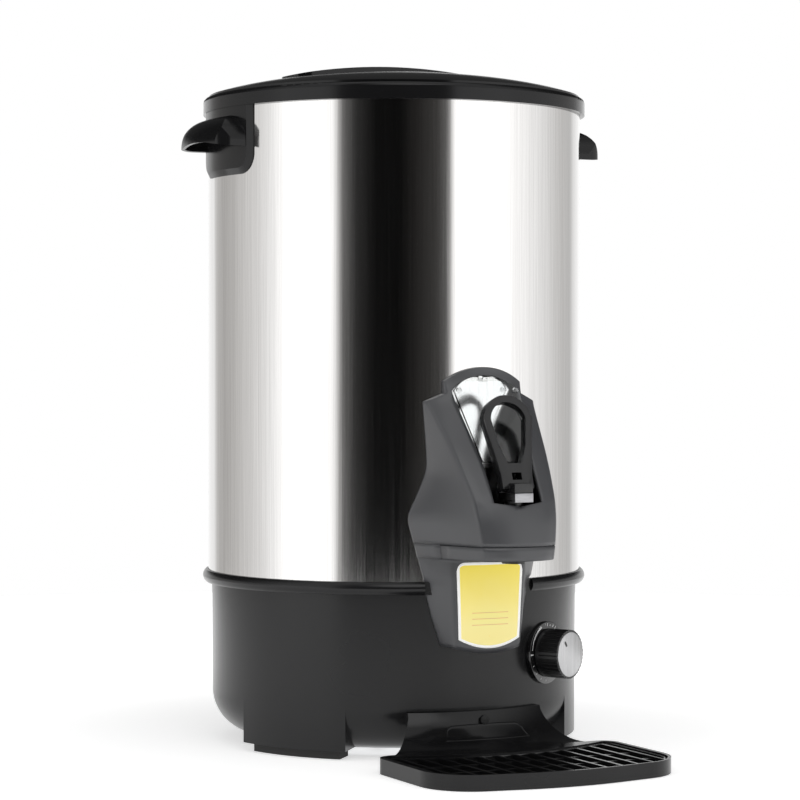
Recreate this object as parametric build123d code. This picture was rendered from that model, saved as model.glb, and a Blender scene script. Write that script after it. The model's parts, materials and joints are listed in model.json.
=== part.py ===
from build123d import *
from math import asin, cos, degrees, radians, sin, sqrt, tan
import os

os.makedirs("parts", exist_ok=True)

# A hot water urn: a double-walled steel tank on a black moulded base, with a sprung lever tap,
# a thermostat knob, a lift-off lid and a drip tray.
# The origin is on the tank's axis, at floor level. The tap faces -Y, and +Z is up.
# "Out" is the distance from the axis plane towards -Y, and "across" is along X.

# ---- clearances ----
SEAT_GAP = 0.05         # between curved faces of pieces that are fixed together
FIT_GAP = 0.15          # between a fixed piece and the opening that it drops into
MOVING_GAP = 0.35       # between pieces that move past each other
RUNNING_GAP = 0.05      # around a turning shaft, on the radius
SCREW_GAP = 0.25        # around a screw, on the radius

# ---- steel jacket and tank ----
JACKET_R = 135.0
JACKET_WALL = 0.8
JACKET_TOP = 455.0
BASE_TOP = 122.7        # where the jacket stands in the base moulding
TANK_R = JACKET_R - 6.0
TANK_WALL = 0.8
TANK_FLOOR = BASE_TOP + 8.3
TANK_CORNER_R = 4.0
TANK_FLANGE = 0.8

# ---- base moulding ----
BASE_R = JACKET_R - 2.7
BASE_LOW_R = BASE_R - 0.6
BASE_WALL = 2.5
BASE_LOW = 6.0
BASE_CORNER_R = 30.0
BEAD_LOW = BASE_TOP - 8.8
BEAD_R = JACKET_R + 3.8
LIP_R = JACKET_R + 1.6
GROOVE_DEPTH = 5.7
BASE_HOLE_R = BASE_LOW_R - 39.7
FOOT_HALF_ANGLE = 19.25
FOOT_ANGLES = (-60.2, 60.2, 180.0)
PAD_R_OUT = BASE_LOW_R - 5.2
PAD_R_IN = PAD_R_OUT - 18.5
PAD_HALF_ANGLE = 16.8
BOTTOM_PLATE_R = BASE_HOLE_R + 6.5
BOTTOM_PLATE_THICK = 1.2
VENT_COUNT = 10
VENT_RING_R = 62.0
VENT_LENGTH = 34.0
VENT_WIDTH = 5.0

# ---- tie rods ----
TIE_ANGLES = (0.0, 120.0, 240.0)
TIE_RING_R = BASE_HOLE_R + 4.5
TIE_ROD_R = 2.0
TIE_NUT_ACROSS = 8.0
TIE_NUT_THICK = 3.2
TIE_END = 0.6

# ---- top rim and side handles ----
RIM_R = JACKET_R + 3.5
RIM_LOW = JACKET_TOP - 4.0
RIM_TOP = JACKET_TOP + 7.6
RIM_ROUND = 3.2
RIM_INNER_R = TANK_R - 3.4
RIM_LIP_LOW = JACKET_TOP - 8.0
LID_SEAT = RIM_TOP - 2.2
HANDLE_PLATE_R = JACKET_R + 2.8
HANDLE_LOW = JACKET_TOP - 51.5
HANDLE_HALF_WIDTH = 40.6
HANDLE_CORNER_R = 14.0
HANDLE_BEVEL = 4.2
HANDLE_BEVEL_DEPTH = 2.1
HOOD_R = HANDLE_PLATE_R + 19.4
HOOD_HALF_WIDTH = 36.0
HOOD_TOP = JACKET_TOP - 10.3
HOOD_LOW = HOOD_TOP - 23.2
HOOD_LIP = 2.0
HOOD_ARCH = 4.5
HOOD_WALL = 2.4
HOOD_END_R = 14.0       # of its ends seen from above
HOOD_SHOULDER_R = 18.0  # of its ends seen from outside
HANDLE_SCREW_HEIGHT = HANDLE_LOW + 8.5
HANDLE_SCREW_ACROSS = 20.0
HANDLE_SCREW_SKIN = 1.2
SMALL_SCREW_R = 1.6
SMALL_HEAD_R = 3.4
SMALL_HEAD_THICK = 2.2

# ---- lid ----
LID_R = RIM_R - RIM_ROUND - 0.7
LID_EDGE = 3.8
LID_WALL = 2.6
LID_SLOPE = ((15.8, 8.1), (37.0, 12.3), (59.6, 15.5), (80.6, 18.0))    # in from the edge, up from the seat
LID_CROWN = LID_SEAT + 20.2
LID_PLUG_R = RIM_INNER_R - 3.0
LID_PLUG_WALL = 2.4
LID_PLUG_LOW = LID_SEAT - 8.4
DISH_R = 45.0
DISH_FLOOR = LID_CROWN - 15.0
DISH_ROUND = 4.0
GRIP_HALF_LENGTH = DISH_R + 43.0
GRIP_HALF_WIDTH = 17.0
GRIP_TOP = LID_CROWN + 4.7
GRIP_FALL = 9.2         # from the middle of the grip to its ends
GRIP_UNDER = LID_CROWN + 0.4
GRIP_UNDER_FALL = 1.4
GRIP_SCREW_OFFSET = DISH_R + 10.0
GRIP_SCREW_REACH = 2.0
SEAL_LOW = LID_SEAT - 4.8

# ---- heater and controls ----
HEAT_PLATE_R = 62.0
HEAT_PLATE_THICK = 5.0
ELEMENT_RING_R = 48.0
ELEMENT_R = 3.3
ELEMENT_GAP_ANGLE = 28.0
ELEMENT_LEG = 24.0
ELEMENT_LEG_R = 3.8
CUTOUT_R = 8.0
CUTOUT_HEIGHT = 7.0
CUTOUT_TAB = 11.0
KNOB_ANGLE = 27.0
KNOB_HEIGHT = 69.0
DIAL_R = 21.75
DIAL_FACE = BASE_R + 1.7
KNOB_R = 17.0
KNOB_LENGTH = 18.0
KNOB_RIBS = 36
KNOB_RIB_R = 0.55
KNOB_CAP_R = 15.6
KNOB_CAP_THICK = 1.5
SHAFT_R = 3.0
BUSH_R = 4.2
THERMOSTAT_FACE = BASE_R - 6.3
THERMOSTAT_DEPTH = 22.0
THERMOSTAT_HALF_WIDTH = 14.0
THERMOSTAT_HALF_HEIGHT = 11.0
THERMOSTAT_EAR = 19.0
THERMOSTAT_EAR_THICK = 1.2
THERMOSTAT_SCREW_ACROSS = 15.5
BULB_R = 3.0
BULB_LENGTH = 46.0
BULB_OUT = 80.0
CAPILLARY_R = 0.8
CAPILLARY_BEND = 20.0
CAPILLARY_TURN_R = 6.0
WIRE_R = 1.3
THERMOSTAT_WIRE_OFFSET = 6.5
LIVE_WAY = ((62.0, 62.0, -8.0), (84.0, 8.0, -10.0), (76.0, -42.0, -4.0))    # from the inlet's height
NEUTRAL_WAY = (-26.0, 30.0, 4.0)

# ---- power inlet at the back ----
INLET_HEIGHT = 62.0
INLET_HALF_WIDTH = 14.5
INLET_HALF_HEIGHT = 10.5
INLET_FLANGE_HALF_WIDTH = 25.0
INLET_FLANGE_HALF_HEIGHT = 14.0
INLET_FLANGE_THICK = 2.5
INLET_PAD_FACE = BASE_R + 0.9
INLET_DEPTH = 20.0
SOCKET_DEPTH = 16.5
SOCKET_HALF_WIDTH = 12.3
SOCKET_HALF_HEIGHT = 8.3
PIN_HALF_WIDTH = 1.0
PIN_HALF_HEIGHT = 2.0
PIN_SPACING = 7.0
PIN_OFFSET = 2.0
PIN_REACH = 14.0
PIN_TAIL = 7.0
INLET_SCREW_ACROSS = 20.0

# ---- tap ----
VALVE_OUT = JACKET_R + 45.0
SHANK_HEIGHT = TANK_FLOOR + 22.5
SHANK_R = 8.5
SHANK_BORE_R = 5.5
SHANK_END = JACKET_R - 25.0
SHANK_FLANGE_R = 15.0
SHANK_FLANGE_OUT = JACKET_R + 3.0
SHANK_FLANGE_THICK = 3.5
WASHER_R = 14.0
WASHER_SEAT = TANK_R - 5.0
NUT_ACROSS = 24.0
NUT_THICK = 7.0
CHAMBER_R = 10.0
CHAMBER_TOP = SHANK_HEIGHT + 10.5
CHAMBER_BORE_R = 5.2
SEAT_HEIGHT = SHANK_HEIGHT - 6.5
SEAT_BORE_R = 4.2
NECK_R = 6.2
NECK_TOP = SHANK_HEIGHT + 25.5
NOSE_LOW = SHANK_HEIGHT - 14.2
NOZZLE_R = 8.0
NOZZLE_BORE_R = 5.5
NOZZLE_LOW = NOSE_LOW - 1.7
NOZZLE_SPIGOT = 3.0
BONNET_HALF_WIDTH = 6.9
BONNET_THICK = 6.0
BONNET_BACK = VALVE_OUT - 7.5
BONNET_FRONT = VALVE_OUT + 14.5
CUP_R = 4.9
CUP_THICK = 3.0
STEM_R = 2.2
STEM_EYE_HALF_WIDTH = 3.2
STEM_EYE_HALF_DEPTH = 3.5
SPRING_COIL_R = 4.0
SPRING_WIRE_R = 0.55
SPRING_TURNS = 7
PIVOT_HEIGHT = NECK_TOP + BONNET_THICK + 4.5
PIVOT_PIN_R = 1.5

# ---- lever: heights along its own leaning face, widths across ----
LEVER_LEAN = 17.5
LEVER_THICK = 7.0
LEVER_OFFSET = 3.0      # the loop stands this far in front of its pin
LEVER_FOOT_HALF = 11.8
LEVER_FOOT = 7.0
LEVER_TOP_HALF = 18.3
LEVER_SHOULDER = 46.0
LEVER_LENGTH = 62.5
LEVER_WAIST_HALF = 15.0
LEVER_WAIST = 27.0
LEVER_LEG = 5.0
LEVER_HOLE_LOW = 15.0
LEVER_HOLE_LOW_HALF = 5.2
LEVER_NOTCH_HALF = 3.6
LEVER_NOTCH_TOP = 9.0
TOE_HALF = 6.9
TOE_FRONT = VALVE_OUT + 14.0
TOE_THICK = 6.2

# ---- tap cover: heights up from the shank, distances out beyond the jacket ----
COVER_WALL = 2.5
COVER_EDGE = 1.6
COVER_BACK = JACKET_R - 17.0
COLLAR_TOP = SHANK_HEIGHT - 4.3
NOSE_BACK = JACKET_R + 15.5
COVER_SHOULDER = SHANK_HEIGHT + 91.9
COVER_STEP_LOW = SHANK_HEIGHT + 97.5
COVER_STEP_HIGH = SHANK_HEIGHT + 105.5
COVER_PEAK = SHANK_HEIGHT + 115.5
COVER_TOP_HALF = 42.5
COVER_ARCH_HALF = 29.5
COVER_CHIN = SHANK_HEIGHT - 73.9
COVER_CHIN_HALF = 29.3
COVER_BOTTOM = SHANK_HEIGHT - 79.5
# height, half width at the jacket, half width of the front crease, how far out the crease
# and the middle of the front stand
COVER_UPPER_ROWS = (
    (-14.2, 45.4, 27.0, 53.0, 61.0),
    (-4.1, 48.0, 28.0, 53.6, 61.0),
    (13.5, 52.4, 30.0, 51.2, 57.8),
    (26.5, 46.7, 31.5, 47.0, 53.3),
    (45.2, 39.6, 34.3, 35.5, 41.6),
    (59.5, 40.0, 36.0, 25.8, 33.0),
    (94.5, 42.5, 41.6, -3.4, 11.5),
    (108.5, 42.5, 41.6, -3.8, 3.6),
    (117.5, 42.5, 41.6, -3.8, 3.6),
)
COVER_LOWER_ROWS = (
    (-81.5, 27.0, 24.2, 9.3, 11.3),
    (-73.9, 29.3, 25.4, 9.8, 11.8),
    (-56.5, 34.8, 26.4, 10.4, 12.4),
    (-28.5, 41.6, 27.2, 10.8, 12.8),
    (-14.2, 45.4, 27.5, 11.0, 13.0),
)
CHANNEL_LOW = SHANK_HEIGHT + 25.1
CHANNEL_LOW_HALF = 18.4
CHANNEL_MID = SHANK_HEIGHT + 50.5
CHANNEL_MID_HALF = 18.9
CHANNEL_HIGH = SHANK_HEIGHT + 99.5
CHANNEL_HIGH_HALF = 25.6
CHANNEL_PEAK = SHANK_HEIGHT + 110.0
WINDOW_THICK = 2.0
WINDOW_INSET = 0.6
WINDOW_BOSS_R = 2.0
WINDOW_BOSS_INSET = 3.6
SHIELD_THICK = 0.8
SHIELD_LOW = SHANK_HEIGHT + 46.5
SHIELD_LOW_HALF = 8.0
SHIELD_SIDE = SHANK_HEIGHT + 93.5
SHIELD_TOP = SHANK_HEIGHT + 105.5
SHIELD_HALF_WIDTH = 26.0
SHIELD_TOP_HALF = 19.0
LABEL_TOP = SHANK_HEIGHT - 17.0
LABEL_TOP_HALF = 25.4
LABEL_LOW = SHANK_HEIGHT - 69.5
LABEL_LOW_HALF = 23.4
LABEL_SAG = 6.4
LABEL_CORNER_R = 6.0
LABEL_THICK = 0.5
COVER_SCREW_HEIGHT = SHANK_HEIGHT - 57.5
COVER_SCREW_ACROSS = 17.0
COVER_BOSS_R = 4.0
COVER_SCREW_REACH = 14.0

# ---- drip tray ----
TRAY_HALF_WIDTH = 91.5
TRAY_BACK = BASE_LOW_R + 22.3
TRAY_SIDE_FRONT = TRAY_BACK + 98.0
TRAY_FRONT = TRAY_SIDE_FRONT + 16.5
TRAY_BACK_R = 12.0
TRAY_CORNER_R = 36.0
TRAY_FRONT_R = 200.0
TRAY_HEIGHT = 10.5
TRAY_WALL = 3.2
TRAY_FLOOR = 2.2
APRON_TOP = 33.5
APRON_FOOT_R = BASE_LOW_R + 44.3
APRON_WALL = 3.0
APRON_TOP_HALF = 51.5
APRON_FOOT_HALF = 79.0
APRON_SWEEP_R = BASE_LOW_R + 14.8
APRON_SWEEP_HEIGHT = 17.5
GRILLE_THICK = 3.0
GRILLE_DROP = 0.8
GRILLE_FRAME = 4.5
GRILLE_PITCH = 13.0
GRILLE_RIB = 2.3
GRILLE_BARS = (TRAY_BACK + 51.0, TRAY_BACK + 78.0)
GRILLE_BAR_WIDTH = 2.0
GRILLE_BAR_DROP = 0.8
LEDGE_WIDTH = 2.2
STUD_R = 3.2
STUD_HEIGHT = 28.0
STUD_NECK_R = 2.2
STUD_HEAD = 2.0


# ---- building blocks ----
def block(across_low, across_high, out_near, out_far, low, high):
    """A box between two distances across, two distances out and two heights."""
    width, depth, height = across_high - across_low, out_far - out_near, high - low
    centre = Pos((across_low + across_high) / 2, -(out_near + out_far) / 2, (low + high) / 2)
    return centre * Box(width, depth, height)


def disc(radius, low, high):
    """An upright cylinder on the urn's axis."""
    return Pos(0, 0, (low + high) / 2) * Cylinder(radius, high - low)


def ring(outer_r, inner_r, low, high):
    """An upright tube on the urn's axis."""
    return disc(outer_r, low, high) - disc(inner_r, low - 1, high + 1)


def upright(radius, across, out, low, high):
    """An upright cylinder somewhere off the axis."""
    return Pos(across, -out, (low + high) / 2) * Cylinder(radius, high - low)


def outward(radius, across, height, near, far):
    """A cylinder that points out of the front."""
    centre = Pos(across, -(near + far) / 2, height)
    return centre * Rot(90, 0, 0) * Cylinder(radius, far - near)


def sideways(radius, out, height, half_length, across=0):
    """A cylinder along X."""
    return Pos(across, -out, height) * Rot(0, 90, 0) * Cylinder(radius, 2 * half_length)


def turned(shape, angle):
    """The shape swung about the urn's axis, from the front towards +X."""
    return Rot(0, 0, angle) * shape


def spun(outline):
    """A solid of revolution from a closed outline of (radius, height) lines and arcs."""
    return revolve(Plane.XZ * make_face(outline), Axis.Z)


def sector(half_angle, reach, low, high):
    """A wedge that opens to the front, from the axis to past the reach."""
    far = reach / cos(radians(half_angle))
    side = far * sin(radians(half_angle))
    plan = Polyline((0, 0), (side, -far * cos(radians(half_angle))),
                    (-side, -far * cos(radians(half_angle))), close=True)
    return Pos(0, 0, low) * extrude(make_face(plan), high - low)


def front_cut(outline, near, far):
    """A closed outline of (across, height), stretched from one distance out to another."""
    face = Plane((0, -near, 0), x_dir=(1, 0, 0), z_dir=(0, -1, 0)) * make_face(outline)
    return extrude(face, far - near)


def side_cut(outline, half_width):
    """A closed outline of (out, height), stretched to both sides of the middle."""
    face = Plane((0, 0, 0), x_dir=(0, -1, 0), z_dir=(-1, 0, 0)) * make_face(outline)
    return extrude(face, half_width, both=True)


def hexagon(across_flats, thickness):
    """A nut's blank, lying flat on the origin."""
    return extrude(RegularPolygon(across_flats / 2, 6, major_radius=False), thickness)


# ---- jacket and tank ----
TANK_FLANGE_TOP = JACKET_TOP + TANK_FLANGE
GROOVE_FLOOR = BASE_TOP - GROOVE_DEPTH
SHANK_HOLE_R = SHANK_R + SCREW_GAP


def handle_screw_spots():
    """The side and the distance across of each handle screw."""
    return [(side, across) for side in (-90, 90) for across in (-HANDLE_SCREW_ACROSS, HANDLE_SCREW_ACROSS)]


def make_outer_jacket():
    jacket = ring(JACKET_R, JACKET_R - JACKET_WALL, GROOVE_FLOOR, JACKET_TOP)
    jacket -= outward(SHANK_HOLE_R, 0, SHANK_HEIGHT, TANK_R, JACKET_R + 5)
    for side, across in handle_screw_spots():
        hole = outward(SMALL_SCREW_R + SCREW_GAP, across, HANDLE_SCREW_HEIGHT, TANK_R, JACKET_R + 5)
        jacket -= turned(hole, side)
    return jacket


def make_tank_floor():
    """The flat bottom of the tank, welded inside the wall's rounded foot."""
    return disc(TANK_R - TANK_CORNER_R, TANK_FLOOR, TANK_FLOOR + TANK_WALL)


def make_inner_tank():
    """The tank's wall, with a flange on top and a rounded foot turned in to meet the floor."""
    outside = fillet(disc(TANK_R, TANK_FLOOR, TANK_FLANGE_TOP).edges().sort_by(Axis.Z)[0], TANK_CORNER_R)
    inside = disc(TANK_R - TANK_WALL, TANK_FLOOR + TANK_WALL, TANK_FLANGE_TOP + 5)
    inside = fillet(inside.edges().sort_by(Axis.Z)[0], TANK_CORNER_R - TANK_WALL)
    flange = disc(JACKET_R, JACKET_TOP, TANK_FLANGE_TOP)
    tank = outside + flange - inside - make_tank_floor()
    return tank - outward(SHANK_HOLE_R, 0, SHANK_HEIGHT, SHANK_END, JACKET_R)


# ---- base ----
PLATE_TOP = BASE_LOW
PLATE_LOW = BASE_LOW - BOTTOM_PLATE_THICK
CORNER_CENTRE_R = BASE_LOW_R - BASE_CORNER_R
CORNER_TOP = BASE_LOW + BASE_CORNER_R
DIAGONAL = sqrt(0.5)


def base_envelope(grow=0.0):
    """The base's filled outer shape without its feet, grown by a gap for what lies against it."""
    arc_r = BASE_CORNER_R + grow
    foot = (CORNER_CENTRE_R, CORNER_TOP - arc_r)
    middle = (CORNER_CENTRE_R + arc_r * DIAGONAL, CORNER_TOP - arc_r * DIAGONAL)
    wall = (CORNER_CENTRE_R + arc_r, CORNER_TOP)
    outline = Polyline((0, BASE_TOP + grow), (0, foot[1]), foot)
    outline += ThreePointArc(foot, middle, wall)
    outline += Polyline(wall, (BASE_R + grow, BEAD_LOW - grow), (LIP_R + grow, BEAD_LOW - grow),
                        (LIP_R + grow, BASE_TOP + grow), (0, BASE_TOP + grow))
    return spun(outline)


def foot_blocks(inset):
    """The three blocks that carry the base's wall down to the feet."""
    trim = degrees(inset / BASE_LOW_R)
    body = disc(BASE_LOW_R - inset, BASE_LOW + inset, CORNER_TOP)
    return [body & turned(sector(FOOT_HALF_ANGLE - trim, BASE_R * 2, 0, BASE_TOP), angle)
            - disc(BASE_HOLE_R - 1, 0, BASE_TOP) for angle in FOOT_ANGLES]


def make_bead():
    """A half-round bead round the top of the base, with a gap behind the tap cover."""
    height = BASE_TOP - BEAD_LOW
    outline = Polyline((LIP_R - 1, BEAD_LOW), (BEAD_R - height / 4, BEAD_LOW))
    outline += ThreePointArc((BEAD_R - height / 4, BEAD_LOW), (BEAD_R, BEAD_LOW + height / 2),
                             (BEAD_R - height / 4, BASE_TOP))
    outline += Polyline((BEAD_R - height / 4, BASE_TOP), (LIP_R - 1, BASE_TOP), (LIP_R - 1, BEAD_LOW))
    (low, low_half, *_), (high, high_half, *_) = COVER_LOWER[2], COVER_LOWER[3]
    cover_half = low_half + (high_half - low_half) * (BASE_TOP - low) / (high - low)
    gap_angle = degrees(asin((cover_half + 2 * FIT_GAP) / LIP_R))
    return spun(outline) - sector(gap_angle, BEAD_R * 2, 0, BASE_TOP + 5)


def base_hollow():
    """The space inside the base, open at the top and through the floor."""
    arc_r = BASE_CORNER_R - BASE_WALL
    floor = BASE_LOW + BASE_WALL
    middle = (CORNER_CENTRE_R + arc_r * DIAGONAL, CORNER_TOP - arc_r * DIAGONAL)
    wall = (CORNER_CENTRE_R + arc_r, CORNER_TOP)
    collar = BASE_R - BASE_WALL
    outline = Polyline((0, 0), (BASE_HOLE_R, 0), (BASE_HOLE_R, floor), (CORNER_CENTRE_R, floor))
    outline += ThreePointArc((CORNER_CENTRE_R, floor), middle, wall)
    outline += Polyline(wall, (collar, BEAD_LOW), (collar, BASE_TOP + 5), (0, BASE_TOP + 5), (0, 0))
    return spun(outline)


def thermostat_screw_holes(radius):
    """Two radial holes at the knob, for the thermostat's screws."""
    return [outward(radius, across, KNOB_HEIGHT, THERMOSTAT_FACE - 10, BASE_R + 10)
            for across in (-THERMOSTAT_SCREW_ACROSS, THERMOSTAT_SCREW_ACROSS)]


SCREW_SINK = BASE_R - BASE_WALL     # where the heads of the thermostat's screws sit


def make_base_shell():
    shell = base_envelope() + make_bead()
    for foot in foot_blocks(0):
        shell += foot
    inlet_pad = turned(block(-INLET_FLANGE_HALF_WIDTH, INLET_FLANGE_HALF_WIDTH, BASE_R - 9, INLET_PAD_FACE,
                             INLET_HEIGHT - INLET_FLANGE_HALF_HEIGHT,
                             INLET_HEIGHT + INLET_FLANGE_HALF_HEIGHT), 180)
    shell += inlet_pad
    shell -= base_hollow()
    for hollow in foot_blocks(BASE_WALL):
        shell -= hollow
    shell -= ring(JACKET_R + FIT_GAP, JACKET_R - JACKET_WALL - FIT_GAP, GROOVE_FLOOR, BASE_TOP + 5)
    for across in (-THERMOSTAT_SCREW_ACROSS, THERMOSTAT_SCREW_ACROSS):
        boss = outward(SMALL_HEAD_R + 0.8, across, KNOB_HEIGHT, THERMOSTAT_FACE, BASE_R - 1)
        shell += turned(boss, KNOB_ANGLE) & base_envelope()
        sink = outward(SMALL_HEAD_R + FIT_GAP, across, KNOB_HEIGHT, SCREW_SINK - SMALL_HEAD_THICK, BASE_R + 5)
        shell -= turned(sink, KNOB_ANGLE)
    for hole in thermostat_screw_holes(SMALL_SCREW_R + SCREW_GAP):
        shell -= turned(hole, KNOB_ANGLE)
    shell -= turned(outward(BUSH_R + FIT_GAP, 0, KNOB_HEIGHT, BASE_R - 15, BASE_R + 5), KNOB_ANGLE)
    shell -= turned(block(-INLET_HALF_WIDTH - FIT_GAP, INLET_HALF_WIDTH + FIT_GAP, BASE_R - 20, BASE_R + 20,
                          INLET_HEIGHT - INLET_HALF_HEIGHT - FIT_GAP,
                          INLET_HEIGHT + INLET_HALF_HEIGHT + FIT_GAP), 180)
    for across in (-INLET_SCREW_ACROSS, INLET_SCREW_ACROSS):
        shell -= turned(outward(SMALL_SCREW_R, across, INLET_HEIGHT, BASE_R - 20, BASE_R + 20), 180)
    for across in (-COVER_SCREW_ACROSS, COVER_SCREW_ACROSS):
        shell -= outward(SMALL_SCREW_R + SCREW_GAP, across, COVER_SCREW_HEIGHT, BASE_R - 20, BASE_R + 5)
    for angle in TIE_ANGLES:
        shell -= turned(upright(TIE_ROD_R + SCREW_GAP, 0, TIE_RING_R, 0, BASE_TOP), angle)
    return shell


def make_bottom_plate():
    plate = disc(BOTTOM_PLATE_R, PLATE_LOW, PLATE_TOP)
    for index in range(VENT_COUNT):
        slot = Pos(0, -VENT_RING_R, PLATE_LOW - 1) * Rot(0, 0, 90) * extrude(
            SlotOverall(VENT_LENGTH, VENT_WIDTH), BOTTOM_PLATE_THICK + 2)
        plate -= turned(slot, index * 360 / VENT_COUNT)
    for angle in TIE_ANGLES:
        plate -= turned(upright(TIE_ROD_R + SCREW_GAP, 0, TIE_RING_R, 0, BASE_LOW + 5), angle)
    return plate


def make_foot_pad(angle):
    pad = ring(PAD_R_OUT, PAD_R_IN, 0, BASE_LOW) & sector(PAD_HALF_ANGLE, PAD_R_OUT * 2, -1, BASE_LOW + 1)
    return turned(pad, angle)


def make_tie_rods():
    """Studs that hang from the tank's floor and hold the base and its plate."""
    return [turned(upright(TIE_ROD_R, 0, TIE_RING_R, TIE_END, TANK_FLOOR), angle) for angle in TIE_ANGLES]


def make_tie_nuts():
    nut = Pos(0, -TIE_RING_R, PLATE_LOW - TIE_NUT_THICK) * hexagon(TIE_NUT_ACROSS, TIE_NUT_THICK)
    nut -= upright(TIE_ROD_R + SEAT_GAP, 0, TIE_RING_R, 0, BASE_LOW)
    return [turned(nut, angle) for angle in TIE_ANGLES]


# ---- top rim with its two handles ----
def rim_section():
    bend = RIM_ROUND * (1 - DIAGONAL)
    shoulder = (RIM_R, RIM_TOP - RIM_ROUND)
    deck = (RIM_R - RIM_ROUND, RIM_TOP)
    seat_edge = LID_R + MOVING_GAP
    tank_inside = TANK_R - TANK_WALL - FIT_GAP
    roof = TANK_FLANGE_TOP
    outline = Polyline((JACKET_R + FIT_GAP, RIM_LOW), (RIM_R, RIM_LOW), shoulder)
    outline += ThreePointArc(shoulder, (RIM_R - bend, RIM_TOP - bend), deck)
    outline += Polyline(deck, (seat_edge, RIM_TOP), (seat_edge, LID_SEAT), (RIM_INNER_R, LID_SEAT),
                        (RIM_INNER_R, RIM_LIP_LOW), (tank_inside, RIM_LIP_LOW), (tank_inside, roof),
                        (JACKET_R + FIT_GAP, roof), (JACKET_R + FIT_GAP, RIM_LOW))
    return spun(outline)


def hood_form(inset):
    """A finger hood's filled form: a quarter ellipse in section, round at its ends both ways."""
    root, front, top = HANDLE_PLATE_R - 1, HOOD_R - inset, HOOD_TOP - inset
    foot = HOOD_LOW + HOOD_LIP
    low = HOOD_LOW - 5 if inset else HOOD_LOW - 0.5
    half = HOOD_HALF_WIDTH - inset
    section = Polyline((root, top), (root, low), (front, low), (front, foot))
    section += EllipticalCenterArc((root, foot), front - root, top - foot, start_angle=0, arc_size=90)
    plan = RectangleRounded(2 * half, 4 * half, HOOD_END_R - inset)
    ends = Pos(0, 2 * half - front, low - 5) * extrude(plan, HOOD_TOP)
    face = FilletPolyline((-half, low - 5), (-half, top), (half, top), (half, low - 5),
                          radius=HOOD_SHOULDER_R - inset)
    face += Line((half, low - 5), (-half, low - 5))
    return spun(section) & ends & front_cut(face, root - 10, front + 10)


def make_handle():
    """One handle at the front: a bevelled plate on the jacket with a hollow finger hood."""
    half, top = HANDLE_HALF_WIDTH, TANK_FLANGE_TOP
    plate = ring(HANDLE_PLATE_R, JACKET_R + FIT_GAP, HANDLE_LOW, RIM_TOP - RIM_ROUND)
    face = FilletPolyline((-half, top + 20), (-half, HANDLE_LOW), (half, HANDLE_LOW), (half, top + 20),
                          radius=HANDLE_CORNER_R)
    face += Line((half, top + 20), (-half, top + 20))
    plate &= front_cut(face, JACKET_R - 30, HOOD_R + 30)
    skin = plate.faces().filter_by(GeomType.CYLINDER).sort_by(lambda wall: wall.radius)[-1]
    brim = [edge for edge in skin.edges() if edge.center().Z < top - HANDLE_BEVEL]
    plate = chamfer(brim, HANDLE_BEVEL, HANDLE_BEVEL_DEPTH, reference=skin)
    arch = ThreePointArc((-half, HOOD_LOW), (0, HOOD_LOW + HOOD_ARCH), (half, HOOD_LOW))
    arch += Polyline((half, HOOD_LOW), (half, HOOD_LOW - 20), (-half, HOOD_LOW - 20), (-half, HOOD_LOW))
    hood = hood_form(0) - front_cut(arch, HANDLE_PLATE_R - 10, HOOD_R + 10)
    return plate + hood - (hood_form(HOOD_WALL) - disc(HANDLE_PLATE_R, 0, HOOD_TOP + 5))


HANDLE_SCREW_END = sqrt(HANDLE_PLATE_R ** 2 - HANDLE_SCREW_ACROSS ** 2) - HANDLE_SCREW_SKIN


def make_top_rim():
    rim = rim_section()
    handle = make_handle() - disc(JACKET_R + FIT_GAP, 0, TANK_FLANGE_TOP)
    for side in (-90, 90):
        rim += turned(handle, side)
    for side, across in handle_screw_spots():
        rim -= turned(outward(SMALL_SCREW_R, across, HANDLE_SCREW_HEIGHT, TANK_R, HANDLE_SCREW_END), side)
    return rim


def make_screw(across, height, head_seat, length):
    """A pan-head screw that points out, with its head on the inner side."""
    head = outward(SMALL_HEAD_R, across, height, head_seat - SMALL_HEAD_THICK, head_seat)
    return head + outward(SMALL_SCREW_R - SEAT_GAP, across, height, head_seat - 0.5, head_seat + length)


def make_handle_screws():
    seat = sqrt((JACKET_R - JACKET_WALL) ** 2 - (HANDLE_SCREW_ACROSS + SMALL_HEAD_R) ** 2) - SEAT_GAP
    reach = HANDLE_SCREW_END - FIT_GAP - seat
    return [turned(make_screw(across, HANDLE_SCREW_HEIGHT, seat, reach), side)
            for side, across in handle_screw_spots()]


# ---- lid ----
LID_EDGE_TOP = LID_SEAT + LID_EDGE


def lid_dome(drop):
    """The lid's filled dome, lowered by a wall's thickness for its inside."""
    edge_r = LID_R if drop == 0 else LID_R - LID_WALL
    floor = LID_SEAT if drop == 0 else LID_SEAT - 5
    edge = (edge_r, LID_EDGE_TOP - drop)
    crown = (0, LID_CROWN - drop)
    slope = [(LID_R - inward, LID_SEAT + rise - drop) for inward, rise in LID_SLOPE]
    outline = Polyline(crown, (0, floor), (edge_r, floor), edge)
    outline += Spline([edge] + slope + [crown])
    return spun(outline)


def dish_form(grow):
    """The finger dish in the middle of the lid."""
    dish = disc(DISH_R + grow, DISH_FLOOR - grow, LID_CROWN + 10)
    return fillet(dish.edges().sort_by(Axis.Z)[0], DISH_ROUND)


def make_lid_dish():
    """The cup let into the middle of the lid, with room for fingers under the grip."""
    return (dish_form(LID_WALL) & lid_dome(0)) - dish_form(0)


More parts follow.
